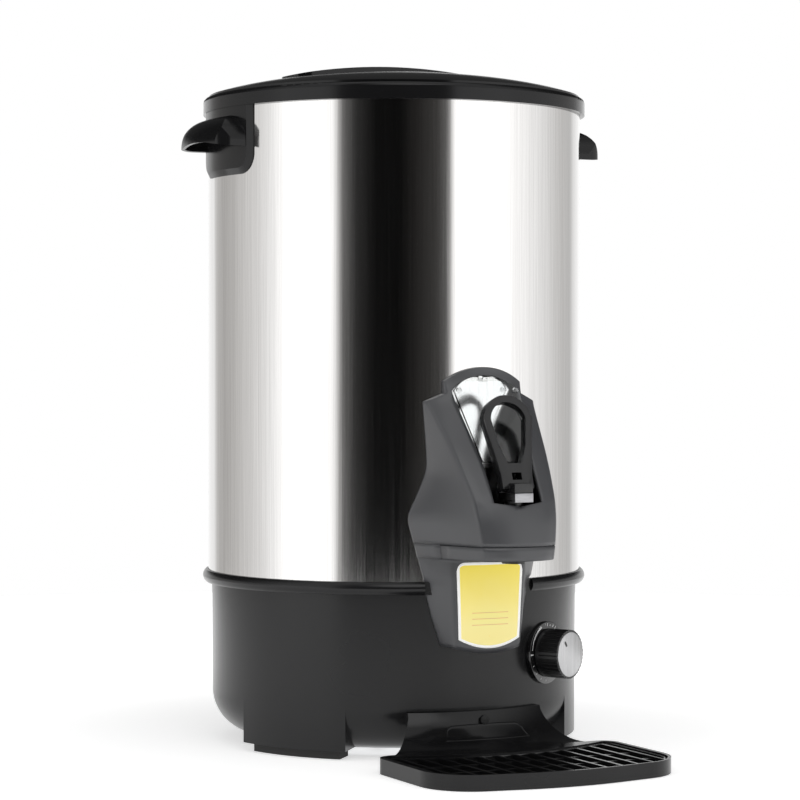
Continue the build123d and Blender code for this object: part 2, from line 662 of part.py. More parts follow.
def make_lid():
    """The dome, with a flange and a plug ring under it, and an opening for the dish."""
    lid = lid_dome(0) - lid_dome(LID_WALL)
    lid += ring(LID_R - 0.5, LID_PLUG_R - LID_PLUG_WALL, LID_SEAT, LID_SEAT + LID_WALL)
    lid += ring(LID_PLUG_R, LID_PLUG_R - LID_PLUG_WALL, LID_PLUG_LOW, LID_SEAT + 3)
    lid -= disc(DISH_R + LID_WALL, DISH_FLOOR, LID_CROWN + 10)
    for across in (-GRIP_SCREW_OFFSET, GRIP_SCREW_OFFSET):
        lid -= upright(SMALL_SCREW_R + SCREW_GAP, across, 0, DISH_FLOOR, LID_CROWN + 5)
    return lid


def grip_arch(top, half_length, ends):
    """A long low arc of (across, height), closed along the bottom."""
    arch = ThreePointArc((-half_length, ends), (0, top), (half_length, ends))
    return arch + Polyline((half_length, ends), (half_length, ends - 20), (-half_length, ends - 20),
                           (-half_length, ends))


GRIP_FOOT = LID_SEAT + LID_SLOPE[-1][1]      # the dome's height near the grip's screws


def make_lid_grip():
    """A long bar that arches over the dish and runs out along the dome to both sides."""
    wide = 2 * GRIP_HALF_WIDTH
    bar = front_cut(grip_arch(GRIP_TOP, GRIP_HALF_LENGTH, GRIP_TOP - GRIP_FALL), -wide, wide)
    plan = RectangleRounded(2 * GRIP_HALF_LENGTH - 1, 2 * GRIP_HALF_WIDTH, GRIP_HALF_WIDTH - 1)
    bar &= Pos(0, 0, LID_EDGE_TOP) * extrude(plan, GRIP_TOP - LID_SEAT)
    bar -= front_cut(grip_arch(GRIP_UNDER, DISH_R + 1.5, GRIP_UNDER - GRIP_UNDER_FALL), -wide, wide)
    bar -= Pos(0, 0, SEAT_GAP) * lid_dome(0)
    for across in (-GRIP_SCREW_OFFSET, GRIP_SCREW_OFFSET):
        bar -= upright(SMALL_SCREW_R, across, 0, DISH_FLOOR, GRIP_FOOT + GRIP_SCREW_REACH + FIT_GAP)
    return bar


def make_lid_screws():
    """Two screws up through the dome into the grip."""
    under = GRIP_FOOT - LID_WALL - 0.9
    screws = []
    for across in (-GRIP_SCREW_OFFSET, GRIP_SCREW_OFFSET):
        head = upright(SMALL_HEAD_R, across, 0, under - SMALL_HEAD_THICK, under)
        shank = upright(SMALL_SCREW_R - SEAT_GAP, across, 0, under - 0.5, GRIP_FOOT + GRIP_SCREW_REACH)
        screws.append(head + shank)
    return screws


def make_lid_seal():
    outer = RIM_INNER_R - MOVING_GAP
    return ring(outer, LID_PLUG_R + SEAT_GAP, SEAL_LOW, LID_SEAT)


# ---- heater and controls ----
HEAT_PLATE_LOW = TANK_FLOOR - HEAT_PLATE_THICK


def make_heating_element():
    """A tube bent to an open ring, with a cold leg down from each end."""
    centre = HEAT_PLATE_LOW - ELEMENT_R
    circle = 360 - 2 * ELEMENT_GAP_ANGLE
    section = Pos(ELEMENT_RING_R, 0, centre) * Rot(90, 0, 0) * Circle(ELEMENT_R)
    coil = turned(revolve(section, Axis.Z, circle), ELEMENT_GAP_ANGLE - 90)
    for angle in (-ELEMENT_GAP_ANGLE, ELEMENT_GAP_ANGLE):
        leg = upright(ELEMENT_LEG_R, 0, ELEMENT_RING_R, HEAT_PLATE_LOW - ELEMENT_LEG, HEAT_PLATE_LOW)
        coil += turned(leg, angle)
    return coil


def make_thermal_cutout():
    low = HEAT_PLATE_LOW - CUTOUT_HEIGHT
    body = disc(CUTOUT_R, low, HEAT_PLATE_LOW)
    body += block(-CUTOUT_TAB - 6, CUTOUT_TAB + 6, -3.5, 3.5, HEAT_PLATE_LOW - 1, HEAT_PLATE_LOW)
    for side in (-1, 1):
        body += block(side * 4 - 0.4, side * 4 + 0.4, -3, 3, low - 7, low + 1)
    return body


def make_thermostat():
    half_width, half_height = THERMOSTAT_HALF_WIDTH, THERMOSTAT_HALF_HEIGHT
    rear = THERMOSTAT_FACE - THERMOSTAT_DEPTH
    body = block(-half_width, half_width, rear, THERMOSTAT_FACE,
                 KNOB_HEIGHT - half_height, KNOB_HEIGHT + half_height)
    body += block(-THERMOSTAT_EAR, THERMOSTAT_EAR, THERMOSTAT_FACE - THERMOSTAT_EAR_THICK, THERMOSTAT_FACE,
                  KNOB_HEIGHT - half_height / 2, KNOB_HEIGHT + half_height / 2)
    body += outward(BUSH_R, 0, KNOB_HEIGHT, THERMOSTAT_FACE - 1, DIAL_FACE - 0.5)
    body -= outward(SHAFT_R + RUNNING_GAP, 0, KNOB_HEIGHT, rear + 6, DIAL_FACE + 5)
    for hole in thermostat_screw_holes(SMALL_SCREW_R):
        body -= hole
    return turned(body, KNOB_ANGLE)


def make_thermostat_screws():
    """Two screws in from outside, with their heads sunk in the base under the dial."""
    seat = SCREW_SINK - SMALL_HEAD_THICK
    screws = []
    for across in (-THERMOSTAT_SCREW_ACROSS, THERMOSTAT_SCREW_ACROSS):
        head = outward(SMALL_HEAD_R, across, KNOB_HEIGHT, seat, seat + SMALL_HEAD_THICK)
        shank = outward(SMALL_SCREW_R - SEAT_GAP, across, KNOB_HEIGHT, THERMOSTAT_FACE - 4, seat + 0.5)
        screws.append(turned(head + shank, KNOB_ANGLE))
    return screws


def make_sensor():
    """The thermostat's sensing bulb under the tank, and the thin tube that joins it."""
    bulb_height = TANK_FLOOR - BULB_R - SEAT_GAP
    bulb = Pos(0, -BULB_OUT, bulb_height) * Rot(0, 90, 0) * Cylinder(BULB_R, BULB_LENGTH)
    rear_out = THERMOSTAT_FACE - THERMOSTAT_DEPTH
    bend_out = rear_out - CAPILLARY_BEND
    start = spot(rear_out, KNOB_HEIGHT, KNOB_ANGLE)
    bend = spot(bend_out, KNOB_HEIGHT, KNOB_ANGLE)
    rise = spot(bend_out, bulb_height - CAPILLARY_BEND, KNOB_ANGLE)
    lead = (BULB_LENGTH / 2 + CAPILLARY_BEND / 2, -BULB_OUT, bulb_height)
    finish = (BULB_LENGTH / 2 - 1, -BULB_OUT, bulb_height)
    path = FilletPolyline(start, bend, rise, lead, finish, radius=CAPILLARY_TURN_R)
    return bulb + sweep(Plane(path @ 0, z_dir=path % 0) * Circle(CAPILLARY_R), path=path)


def spot(out, height, angle):
    """A point at an angle from the front, as coordinates."""
    return (out * sin(radians(angle)), -out * cos(radians(angle)), height)


def wire(points):
    """A wire along straight runs, with arcs as large as the runs allow."""
    radii = []
    for before, here, after in zip(points, points[1:], points[2:]):
        run_in, run_out = Vector(*here) - Vector(*before), Vector(*after) - Vector(*here)
        turn = radians(run_in.get_angle(run_out))
        radii.append(0.45 * min(run_in.length, run_out.length) / tan(turn / 2))
    path = FilletPolyline(points, radius=radii)
    return sweep(Plane(path @ 0, z_dir=path % 0) * Circle(WIRE_R), path=path)


def inlet_tail(across, up):
    """Where a wire leaves the inner end of one of the inlet's pins."""
    return spot(FLANGE_FACE - INLET_DEPTH - PIN_TAIL, INLET_HEIGHT + up, 180), across


def make_live_wire():
    """From the inlet round the inside of the base to the thermostat."""
    (_, back, height), across = inlet_tail(PIN_SPACING, -PIN_OFFSET)
    rear = THERMOSTAT_FACE - THERMOSTAT_DEPTH
    way = [(x, y, height + rise) for x, y, rise in LIVE_WAY]
    return wire([(across, back, height), (across, back - 22, height), *way,
                 spot(rear - 20, KNOB_HEIGHT - THERMOSTAT_WIRE_OFFSET, KNOB_ANGLE + 3),
                 spot(rear, KNOB_HEIGHT - THERMOSTAT_WIRE_OFFSET, KNOB_ANGLE + 3)])


def make_heater_wire():
    """From the thermostat up to one leg of the element."""
    rear = THERMOSTAT_FACE - THERMOSTAT_DEPTH
    leg_low = HEAT_PLATE_LOW - ELEMENT_LEG
    leg = spot(ELEMENT_RING_R, leg_low, ELEMENT_GAP_ANGLE)
    return wire([spot(rear, KNOB_HEIGHT + THERMOSTAT_WIRE_OFFSET, KNOB_ANGLE - 3),
                 spot(rear - 24, KNOB_HEIGHT + THERMOSTAT_WIRE_OFFSET, KNOB_ANGLE - 3),
                 (leg[0], leg[1], leg_low - 16), leg])


def make_neutral_wire():
    """From the inlet to the element's other leg."""
    (_, back, height), across = inlet_tail(-PIN_SPACING, -PIN_OFFSET)
    leg_low = HEAT_PLATE_LOW - ELEMENT_LEG
    leg = spot(ELEMENT_RING_R, leg_low, -ELEMENT_GAP_ANGLE)
    x, y, rise = NEUTRAL_WAY
    return wire([(across, back, height), (across, back - 24, height), (x, y, height + rise),
                 (leg[0], leg[1], leg_low - 22), leg])


def make_dial_plate():
    dial = outward(DIAL_R, 0, KNOB_HEIGHT, BASE_R - 12, DIAL_FACE)
    dial -= outward(BUSH_R + FIT_GAP, 0, KNOB_HEIGHT, BASE_R - 15, DIAL_FACE + 5)
    dial = turned(dial, KNOB_ANGLE) - base_envelope(SEAT_GAP)
    return dial


KNOB_BACK = DIAL_FACE + 2 * MOVING_GAP
KNOB_FACE = KNOB_BACK + KNOB_LENGTH


def make_knob_body():
    """A ribbed knob with a recess in its face for the metal cap and a bore for the shaft."""
    knob = outward(KNOB_R, 0, KNOB_HEIGHT, KNOB_BACK, KNOB_FACE)
    for index in range(KNOB_RIBS):
        angle = radians(index * 360 / KNOB_RIBS)
        across, height = KNOB_R * cos(angle), KNOB_HEIGHT + KNOB_R * sin(angle)
        knob -= outward(KNOB_RIB_R, across, height, KNOB_BACK + 3, KNOB_FACE + 1)
    knob -= outward(KNOB_CAP_R + SEAT_GAP, 0, KNOB_HEIGHT, KNOB_FACE - 1, KNOB_FACE + 1)
    knob -= outward(SHAFT_R + SEAT_GAP, 0, KNOB_HEIGHT, KNOB_BACK - 1, KNOB_FACE - 5)
    return turned(knob, KNOB_ANGLE)


def make_knob_cap():
    cap = outward(KNOB_CAP_R, 0, KNOB_HEIGHT, KNOB_FACE - 1, KNOB_FACE - 1 + KNOB_CAP_THICK)
    return turned(cap, KNOB_ANGLE)


def make_thermostat_shaft():
    rear = THERMOSTAT_FACE - THERMOSTAT_DEPTH + 6.5
    return turned(outward(SHAFT_R, 0, KNOB_HEIGHT, rear, KNOB_FACE - 5.2), KNOB_ANGLE)


# ---- power inlet ----
FLANGE_FACE = INLET_PAD_FACE + INLET_FLANGE_THICK


def inlet_pin_spots():
    """Where the three pins stand, across and up from the inlet's middle."""
    return ((-PIN_SPACING, -PIN_OFFSET), (PIN_SPACING, -PIN_OFFSET), (0, PIN_OFFSET))


def make_power_inlet():
    inlet = block(-INLET_HALF_WIDTH, INLET_HALF_WIDTH, FLANGE_FACE - INLET_DEPTH, FLANGE_FACE,
                  INLET_HEIGHT - INLET_HALF_HEIGHT, INLET_HEIGHT + INLET_HALF_HEIGHT)
    inlet += block(-INLET_FLANGE_HALF_WIDTH, INLET_FLANGE_HALF_WIDTH, INLET_PAD_FACE, FLANGE_FACE,
                   INLET_HEIGHT - INLET_FLANGE_HALF_HEIGHT, INLET_HEIGHT + INLET_FLANGE_HALF_HEIGHT)
    inlet -= block(-SOCKET_HALF_WIDTH, SOCKET_HALF_WIDTH, FLANGE_FACE - SOCKET_DEPTH, FLANGE_FACE + 5,
                   INLET_HEIGHT - SOCKET_HALF_HEIGHT, INLET_HEIGHT + SOCKET_HALF_HEIGHT)
    for across, up in inlet_pin_spots():
        inlet -= block(across - PIN_HALF_WIDTH - SEAT_GAP, across + PIN_HALF_WIDTH + SEAT_GAP,
                       FLANGE_FACE - INLET_DEPTH - 5, FLANGE_FACE,
                       INLET_HEIGHT + up - PIN_HALF_HEIGHT - SEAT_GAP,
                       INLET_HEIGHT + up + PIN_HALF_HEIGHT + SEAT_GAP)
    for across in (-INLET_SCREW_ACROSS, INLET_SCREW_ACROSS):
        inlet -= outward(SMALL_SCREW_R + SCREW_GAP, across, INLET_HEIGHT, INLET_PAD_FACE - 5, FLANGE_FACE + 5)
    return turned(inlet, 180)


def make_inlet_pins():
    socket_floor = FLANGE_FACE - SOCKET_DEPTH
    return [turned(block(across - PIN_HALF_WIDTH, across + PIN_HALF_WIDTH,
                         FLANGE_FACE - INLET_DEPTH - PIN_TAIL, socket_floor + PIN_REACH,
                         INLET_HEIGHT + up - PIN_HALF_HEIGHT, INLET_HEIGHT + up + PIN_HALF_HEIGHT), 180)
            for across, up in inlet_pin_spots()]


def make_inlet_screws():
    screws = []
    for across in (-INLET_SCREW_ACROSS, INLET_SCREW_ACROSS):
        head = outward(SMALL_HEAD_R, across, INLET_HEIGHT, FLANGE_FACE, FLANGE_FACE + 1.6)
        shank = outward(SMALL_SCREW_R - SEAT_GAP, across, INLET_HEIGHT, INLET_PAD_FACE - 6, FLANGE_FACE + 0.5)
        screws.append(turned(head + shank, 180))
    return screws


# ---- tap ----
CHAMBER_LOW = NOSE_LOW + COVER_WALL + FIT_GAP
BONNET_LOW = NECK_TOP
BONNET_TOP = NECK_TOP + BONNET_THICK
STEM_EYE_LOW = BONNET_TOP + MOVING_GAP
CUP_LOW = SEAT_HEIGHT + MOVING_GAP
TOE_LOW = BONNET_TOP + MOVING_GAP


def make_tap_body():
    """The shank through both walls, the valve chamber, its seat and the neck for the spring."""
    body = outward(SHANK_R, 0, SHANK_HEIGHT, SHANK_END, VALVE_OUT)
    body += outward(SHANK_FLANGE_R, 0, SHANK_HEIGHT, SHANK_FLANGE_OUT, SHANK_FLANGE_OUT + SHANK_FLANGE_THICK)
    body += upright(CHAMBER_R, 0, VALVE_OUT, CHAMBER_LOW, CHAMBER_TOP)
    body += upright(NECK_R, 0, VALVE_OUT, CHAMBER_TOP - 1, NECK_TOP)
    body -= outward(SHANK_BORE_R, 0, SHANK_HEIGHT, SHANK_END - 5, VALVE_OUT)
    body -= upright(CHAMBER_BORE_R, 0, VALVE_OUT, SEAT_HEIGHT, NECK_TOP + 5)
    body -= upright(SEAT_BORE_R, 0, VALVE_OUT, CHAMBER_LOW - 5, SEAT_HEIGHT + 1)
    body -= upright(NOZZLE_BORE_R + 1, 0, VALVE_OUT, CHAMBER_LOW - 5, CHAMBER_LOW + NOZZLE_SPIGOT)
    return body


def make_spout_nozzle():
    """The outlet under the nose, pushed up into the chamber's foot."""
    nozzle = upright(NOZZLE_R, 0, VALVE_OUT, NOZZLE_LOW, CHAMBER_LOW)
    nozzle += upright(NOZZLE_BORE_R + 1 - SEAT_GAP, 0, VALVE_OUT,
                      CHAMBER_LOW - 1, CHAMBER_LOW + NOZZLE_SPIGOT)
    return nozzle - upright(SEAT_BORE_R, 0, VALVE_OUT, NOZZLE_LOW - 5, CHAMBER_LOW + 10) \
        - upright(NOZZLE_BORE_R, 0, VALVE_OUT, NOZZLE_LOW - 5, CHAMBER_LOW - 2)


def make_outer_washer():
    washer = outward(WASHER_R, 0, SHANK_HEIGHT, JACKET_R - 5, SHANK_FLANGE_OUT)
    washer -= outward(SHANK_HOLE_R, 0, SHANK_HEIGHT, JACKET_R - 10, SHANK_FLANGE_OUT + 5)
    return washer - disc(JACKET_R + SEAT_GAP, 0, JACKET_TOP)


def make_spacer_bush():
    """The bush that keeps the jacket off the tank around the shank."""
    bush = outward(WASHER_R, 0, SHANK_HEIGHT, TANK_R - 10, JACKET_R)
    bush -= outward(SHANK_HOLE_R, 0, SHANK_HEIGHT, TANK_R - 15, JACKET_R + 5)
    return bush & ring(JACKET_R - JACKET_WALL - SEAT_GAP, TANK_R + SEAT_GAP, 0, JACKET_TOP)


def make_inner_washer():
    washer = outward(WASHER_R, 0, SHANK_HEIGHT, WASHER_SEAT, TANK_R)
    washer -= outward(SHANK_HOLE_R, 0, SHANK_HEIGHT, WASHER_SEAT - 5, TANK_R + 5)
    return washer & disc(TANK_R - TANK_WALL - SEAT_GAP, 0, JACKET_TOP)


def make_shank_nut():
    nut = Pos(0, -WASHER_SEAT, SHANK_HEIGHT) * Rot(-90, 0, 0) * hexagon(NUT_ACROSS, NUT_THICK)
    return nut - outward(SHANK_R + SEAT_GAP, 0, SHANK_HEIGHT, SHANK_END, WASHER_SEAT + 5)


def make_bonnet_plate():
    """The metal block on the neck that guides the stem and carries the lever's toe."""
    bonnet = block(-BONNET_HALF_WIDTH, BONNET_HALF_WIDTH, BONNET_BACK, BONNET_FRONT, BONNET_LOW, BONNET_TOP)
    return bonnet - upright(STEM_R + RUNNING_GAP, 0, VALVE_OUT, BONNET_LOW - 5, BONNET_TOP + 5)


def make_valve_cup():
    cup = upright(CUP_R, 0, VALVE_OUT, CUP_LOW, CUP_LOW + CUP_THICK)
    return cup - upright(STEM_R / 2 + SEAT_GAP, 0, VALVE_OUT, CUP_LOW + 1, CUP_LOW + 10)


def make_valve_plunger():
    """The stem, with a peg in the cup and an eye on top for the lever's pin."""
    plunger = upright(STEM_R / 2, 0, VALVE_OUT, CUP_LOW + 1, CUP_LOW + CUP_THICK + 0.5)
    plunger += upright(STEM_R, 0, VALVE_OUT, CUP_LOW + CUP_THICK, STEM_EYE_LOW + 1)
    plunger += block(-STEM_EYE_HALF_WIDTH, STEM_EYE_HALF_WIDTH, VALVE_OUT - STEM_EYE_HALF_DEPTH,
                     VALVE_OUT + STEM_EYE_HALF_DEPTH, STEM_EYE_LOW, PIVOT_HEIGHT)
    plunger += sideways(STEM_EYE_HALF_DEPTH, VALVE_OUT, PIVOT_HEIGHT, STEM_EYE_HALF_WIDTH)
    return plunger - sideways(PIVOT_PIN_R + RUNNING_GAP, VALVE_OUT, PIVOT_HEIGHT, LEVER_FOOT_HALF + 5)


SPRING_LOW = CUP_LOW + CUP_THICK
SPRING_HIGH = BONNET_LOW


def make_valve_spring():
    """The coil between the cup and the bonnet, with both ends ground flat."""
    height = SPRING_HIGH - SPRING_LOW
    pitch = (height - 2 * SPRING_WIRE_R) / SPRING_TURNS
    path = Pos(0, -VALVE_OUT, SPRING_LOW + SPRING_WIRE_R) * Helix(pitch, SPRING_TURNS * pitch, SPRING_COIL_R)
    return sweep(Plane(path @ 0, z_dir=path % 0) * Circle(SPRING_WIRE_R), path=path, is_frenet=True)


def lever_outline():
    """The loop's outer edge: narrow at the foot, widening to a round top."""
    side = [(LEVER_FOOT_HALF, TOE_LOW - PIVOT_HEIGHT + 1.5), (LEVER_FOOT_HALF, LEVER_FOOT),
            (LEVER_WAIST_HALF, LEVER_WAIST), (LEVER_TOP_HALF, LEVER_SHOULDER)]
    outline = Polyline(side)
    outline += ThreePointArc(side[-1], (0, LEVER_LENGTH), (-LEVER_TOP_HALF, LEVER_SHOULDER))
    outline += Polyline([(-across, height) for across, height in reversed(side)])
    return outline + Line((-side[0][0], side[0][1]), side[0])


def lever_hole():
    """The loop's opening: a narrow foot and a round top, one leg's width inside the outer edge."""
    low = [(LEVER_HOLE_LOW_HALF, LEVER_HOLE_LOW), (LEVER_WAIST_HALF - LEVER_LEG, LEVER_WAIST),
           (LEVER_TOP_HALF - LEVER_LEG, LEVER_SHOULDER)]
    outline = Polyline(low)
    outline += ThreePointArc(low[-1], (0, LEVER_LENGTH - LEVER_LEG), (-low[-1][0], LEVER_SHOULDER))
    outline += Polyline([(-across, height) for across, height in reversed(low)])
    return outline + Line((-LEVER_HOLE_LOW_HALF, LEVER_HOLE_LOW), low[0])


def make_lever():
    """The leaning loop, its toe over the bonnet and the fork that holds the pin."""
    loop = front_cut(lever_outline(), -LEVER_THICK / 2, LEVER_THICK / 2)
    loop -= front_cut(lever_hole(), -LEVER_THICK, LEVER_THICK)
    loop = Rot(-LEVER_LEAN, 0, 0) * loop
    loop = Pos(0, -VALVE_OUT - LEVER_OFFSET, PIVOT_HEIGHT) * loop
    toe = block(-TOE_HALF, TOE_HALF, VALVE_OUT, TOE_FRONT, TOE_LOW, TOE_LOW + TOE_THICK)
    hub = sideways(TOE_THICK / 2 + 0.8, VALVE_OUT, PIVOT_HEIGHT, LEVER_FOOT_HALF)
    lever = loop + toe + hub
    notch = block(-LEVER_NOTCH_HALF, LEVER_NOTCH_HALF, VALVE_OUT - 8, VALVE_OUT + STEM_EYE_HALF_DEPTH + 1.8,
                  TOE_LOW - 5, PIVOT_HEIGHT + LEVER_NOTCH_TOP)
    lever -= notch
    lever -= sideways(PIVOT_PIN_R + SEAT_GAP, VALVE_OUT, PIVOT_HEIGHT, LEVER_FOOT_HALF + 5)
    return lever - block(-50, 50, VALVE_OUT - 30, VALVE_OUT + 30, TOE_LOW - 20, TOE_LOW)


def make_lever_pin():
    return sideways(PIVOT_PIN_R, VALVE_OUT, PIVOT_HEIGHT, LEVER_FOOT_HALF - 0.3)


# ---- tap cover ----
def placed(rows):
    """A table of the cover's levels, moved from the shank and the jacket to the urn's frame."""
    return [(SHANK_HEIGHT + rise, side_half, crease_half, JACKET_R + crease_out, JACKET_R + nose_out)
            for rise, side_half, crease_half, crease_out, nose_out in rows]


COVER_UPPER = placed(COVER_UPPER_ROWS)
COVER_LOWER = placed(COVER_LOWER_ROWS)


def cover_slice(height, side_half, crease_half, crease_out, nose_out, inset):
    """One level slice of the cover: flanks from the jacket to the creases, and a bowed front."""
    carrier_r = JACKET_R if height > BASE_TOP else BASE_R
    side_out = sqrt(carrier_r ** 2 - side_half ** 2) + COVER_EDGE
    side_half, crease_half = side_half - inset, crease_half - inset
    side_out, crease_out, nose_out = side_out - inset, crease_out - inset, nose_out - inset
    outline = Polyline((-crease_half, -crease_out), (-side_half, -side_out), (-side_half, -COVER_BACK),
                       (side_half, -COVER_BACK), (side_half, -side_out), (crease_half, -crease_out))
    outline += ThreePointArc((crease_half, -crease_out), (0, -nose_out), (-crease_half, -crease_out))
    return Pos(0, 0, height) * make_face(outline)


def cover_stack(levels, inset):
    return loft([cover_slice(*level, inset) for level in levels], ruled=True)


def cover_front(inset):
    """The cover seen from the front: a stepped arch on top and a bowed chin, with room at the sides."""
    wide = COVER_TOP_HALF + 20
    shoulder = COVER_SHOULDER - inset
    arch_half = COVER_ARCH_HALF - inset
    side = [(COVER_CHIN_HALF, COVER_CHIN + inset), (wide, BASE_TOP - 12), (wide, shoulder),
            (COVER_TOP_HALF, shoulder), (arch_half, COVER_STEP_LOW - inset),
            (arch_half, COVER_STEP_HIGH - inset)]
    outline = Polyline(side)
    outline += ThreePointArc(side[-1], (0, COVER_PEAK - inset), (-side[-1][0], side[-1][1]))
    outline += Polyline([(-across, height) for across, height in reversed(side)])
    outline += ThreePointArc((-side[0][0], side[0][1]), (0, COVER_BOTTOM + inset), side[0])
    return front_cut(outline, COVER_BACK - 5, VALVE_OUT + 40)


def channel_outline(inset, low, low_half):
    """The opening in the cover's face for the lever and the window."""
    side = [(low_half - inset, low + inset), (CHANNEL_MID_HALF - inset, CHANNEL_MID),
            (CHANNEL_HIGH_HALF - inset, CHANNEL_HIGH - inset)]
    outline = Polyline(side)
    outline += ThreePointArc(side[-1], (0, CHANNEL_PEAK - inset), (-side[-1][0], side[-1][1]))
    outline += Polyline([(-across, height) for across, height in reversed(side)])
    return outline + Line((-side[0][0], side[0][1]), side[0])


def jacket_and_base(gap):
    """What the cover hugs: the jacket, the base and the lip between them, grown by a gap."""
    return disc(JACKET_R + gap, BASE_TOP - 1, JACKET_TOP) + base_envelope(gap)


def cover_shell():
    """The whole cover with its nose, hollow and open at the back."""
    upper = cover_stack(COVER_UPPER, 0)
    lower = cover_stack(COVER_LOWER, 0)
    shell = (upper + lower) & cover_front(0)
    inside = cover_stack(COVER_UPPER, COVER_WALL)
    inside &= block(-60, 60, 0, 250, NOSE_LOW + COVER_WALL, COVER_PEAK + 5)
    inside += cover_stack(COVER_LOWER, COVER_WALL) & block(-60, 60, 0, 250, COVER_BOTTOM, NOSE_LOW)
    join = cover_slice(*COVER_LOWER[-1], COVER_WALL)
    inside += Pos(0, 0, -0.5) * extrude(join, COVER_WALL + 1)
    shell -= inside & cover_front(COVER_WALL)
    shell -= front_cut(channel_outline(0, CHANNEL_LOW, CHANNEL_LOW_HALF), COVER_BACK - 5, VALVE_OUT + 40)
    shell -= upright(NOZZLE_R + FIT_GAP, 0, VALVE_OUT, NOSE_LOW - 5, NOSE_LOW + 5)
    return shell


def nose_zone():
    """The foot of the nose, which is a collar of its own."""
    return block(-60, 60, NOSE_BACK, VALVE_OUT + 40, NOSE_LOW - 5, COLLAR_TOP)


def make_tap_cover():
    cover = cover_shell() - nose_zone()
    for across in (-COVER_SCREW_ACROSS, COVER_SCREW_ACROSS):
        cover += outward(COVER_BOSS_R, across, COVER_SCREW_HEIGHT, BASE_R - 10, COVER_LOWER[2][3] - 0.5)
    cover -= jacket_and_base(SEAT_GAP)
    for across in (-COVER_SCREW_ACROSS, COVER_SCREW_ACROSS):
        cover -= outward(SMALL_SCREW_R, across, COVER_SCREW_HEIGHT, BASE_R - 20, COVER_LOWER[2][3] - 1.5)
    return cover


def make_nose_collar():
    return cover_shell() & nose_zone()


def make_cover_screws():
    """Two screws out through the base's wall into the bosses of the cover."""
    seat = sqrt((BASE_R - BASE_WALL) ** 2 - (COVER_SCREW_ACROSS + SMALL_HEAD_R) ** 2) - 4 * SEAT_GAP
    return [make_screw(across, COVER_SCREW_HEIGHT, seat, COVER_SCREW_REACH)
            for across in (-COVER_SCREW_ACROSS, COVER_SCREW_ACROSS)]


def face_out(height):
    """How far out the middle of the cover's sloping face stands at a height."""
    (low, *_, low_out), (high, *_, high_out) = COVER_UPPER[3], COVER_UPPER[6]
    return low_out + (high_out - low_out) * (height - low) / (high - low)


def make_tap_window():
    """A clear fan-shaped plate that lies in the top of the channel, with three small bosses."""
    low, high = CHANNEL_MID + 1, COVER_PEAK
    slab = Polyline((face_out(low) - WINDOW_INSET, low), (face_out(high) - WINDOW_INSET, high),
                    (face_out(high) - WINDOW_INSET - WINDOW_THICK, high),
                    (face_out(low) - WINDOW_INSET - WINDOW_THICK, low), close=True)
    window = side_cut(slab, COVER_TOP_HALF)
    outline = channel_outline(FIT_GAP, CHANNEL_MID, CHANNEL_MID_HALF)
    window &= front_cut(outline, COVER_BACK, VALVE_OUT + 40)
    side = CHANNEL_HIGH_HALF - WINDOW_BOSS_INSET
    for across, height in [(0, CHANNEL_PEAK - WINDOW_BOSS_INSET), (side, CHANNEL_HIGH), (-side, CHANNEL_HIGH)]:
        foot = face_out(height) - WINDOW_INSET
        window += outward(WINDOW_BOSS_R, across, height, foot - WINDOW_THICK / 2, foot + WINDOW_INSET)
    return window - disc(JACKET_R + SHIELD_THICK + FIT_GAP, 0, JACKET_TOP)


def make_window_shield():
    """A bright curved plate on the jacket behind the window."""
    inner = JACKET_R + SEAT_GAP
    side = [(SHIELD_LOW_HALF, SHIELD_LOW), (SHIELD_HALF_WIDTH, SHIELD_SIDE), (SHIELD_TOP_HALF, SHIELD_TOP)]
    outline = Polyline(side + [(-across, height) for across, height in reversed(side)], close=True)
    return ring(inner + SHIELD_THICK, inner, 0, JACKET_TOP) & front_cut(outline, COVER_BACK, VALVE_OUT)


def make_label_plate():
    """The plain plate on the panel under the nose."""
    sag = LABEL_LOW - LABEL_SAG
    left, right = (-LABEL_LOW_HALF, LABEL_LOW), (LABEL_LOW_HALF, LABEL_LOW)
    outline = ThreePointArc(left, (0, sag), right)
    outline += FilletPolyline(right, (LABEL_TOP_HALF, LABEL_TOP), (-LABEL_TOP_HALF, LABEL_TOP), left,
                              radius=LABEL_CORNER_R)
    plate = front_cut(outline, COVER_BACK, VALVE_OUT)
    skin = cover_stack(COVER_LOWER, -LABEL_THICK) - cover_stack(COVER_LOWER, -SEAT_GAP)
    return plate & skin & block(-60, 60, COVER_LOWER[0][3] - 1, VALVE_OUT, 0, NOSE_LOW - FIT_GAP)


# ---- drip tray ----
def tray_plan(inset):
    """The tray from above: round back corners, wide front corners and a slightly bowed front."""
    half, back = TRAY_HALF_WIDTH - inset, TRAY_BACK + inset
    points = [(-half, -back), (-half, -TRAY_SIDE_FRONT), (0, -TRAY_FRONT + inset), (half, -TRAY_SIDE_FRONT),
              (half, -back)]
    radii = [TRAY_BACK_R, TRAY_CORNER_R, TRAY_FRONT_R, TRAY_CORNER_R, TRAY_BACK_R]
    radii = [radius if radius == TRAY_FRONT_R else radius - inset for radius in radii]
    return make_face(FilletPolyline(points, radius=radii, close=True))


def tray_form(inset, low, high):
    return Pos(0, 0, low) * extrude(tray_plan(inset), high - low)


APRON_BACK_R = BASE_LOW_R + MOVING_GAP
STUD_SEAT = APRON_BACK_R + APRON_WALL + 3.4


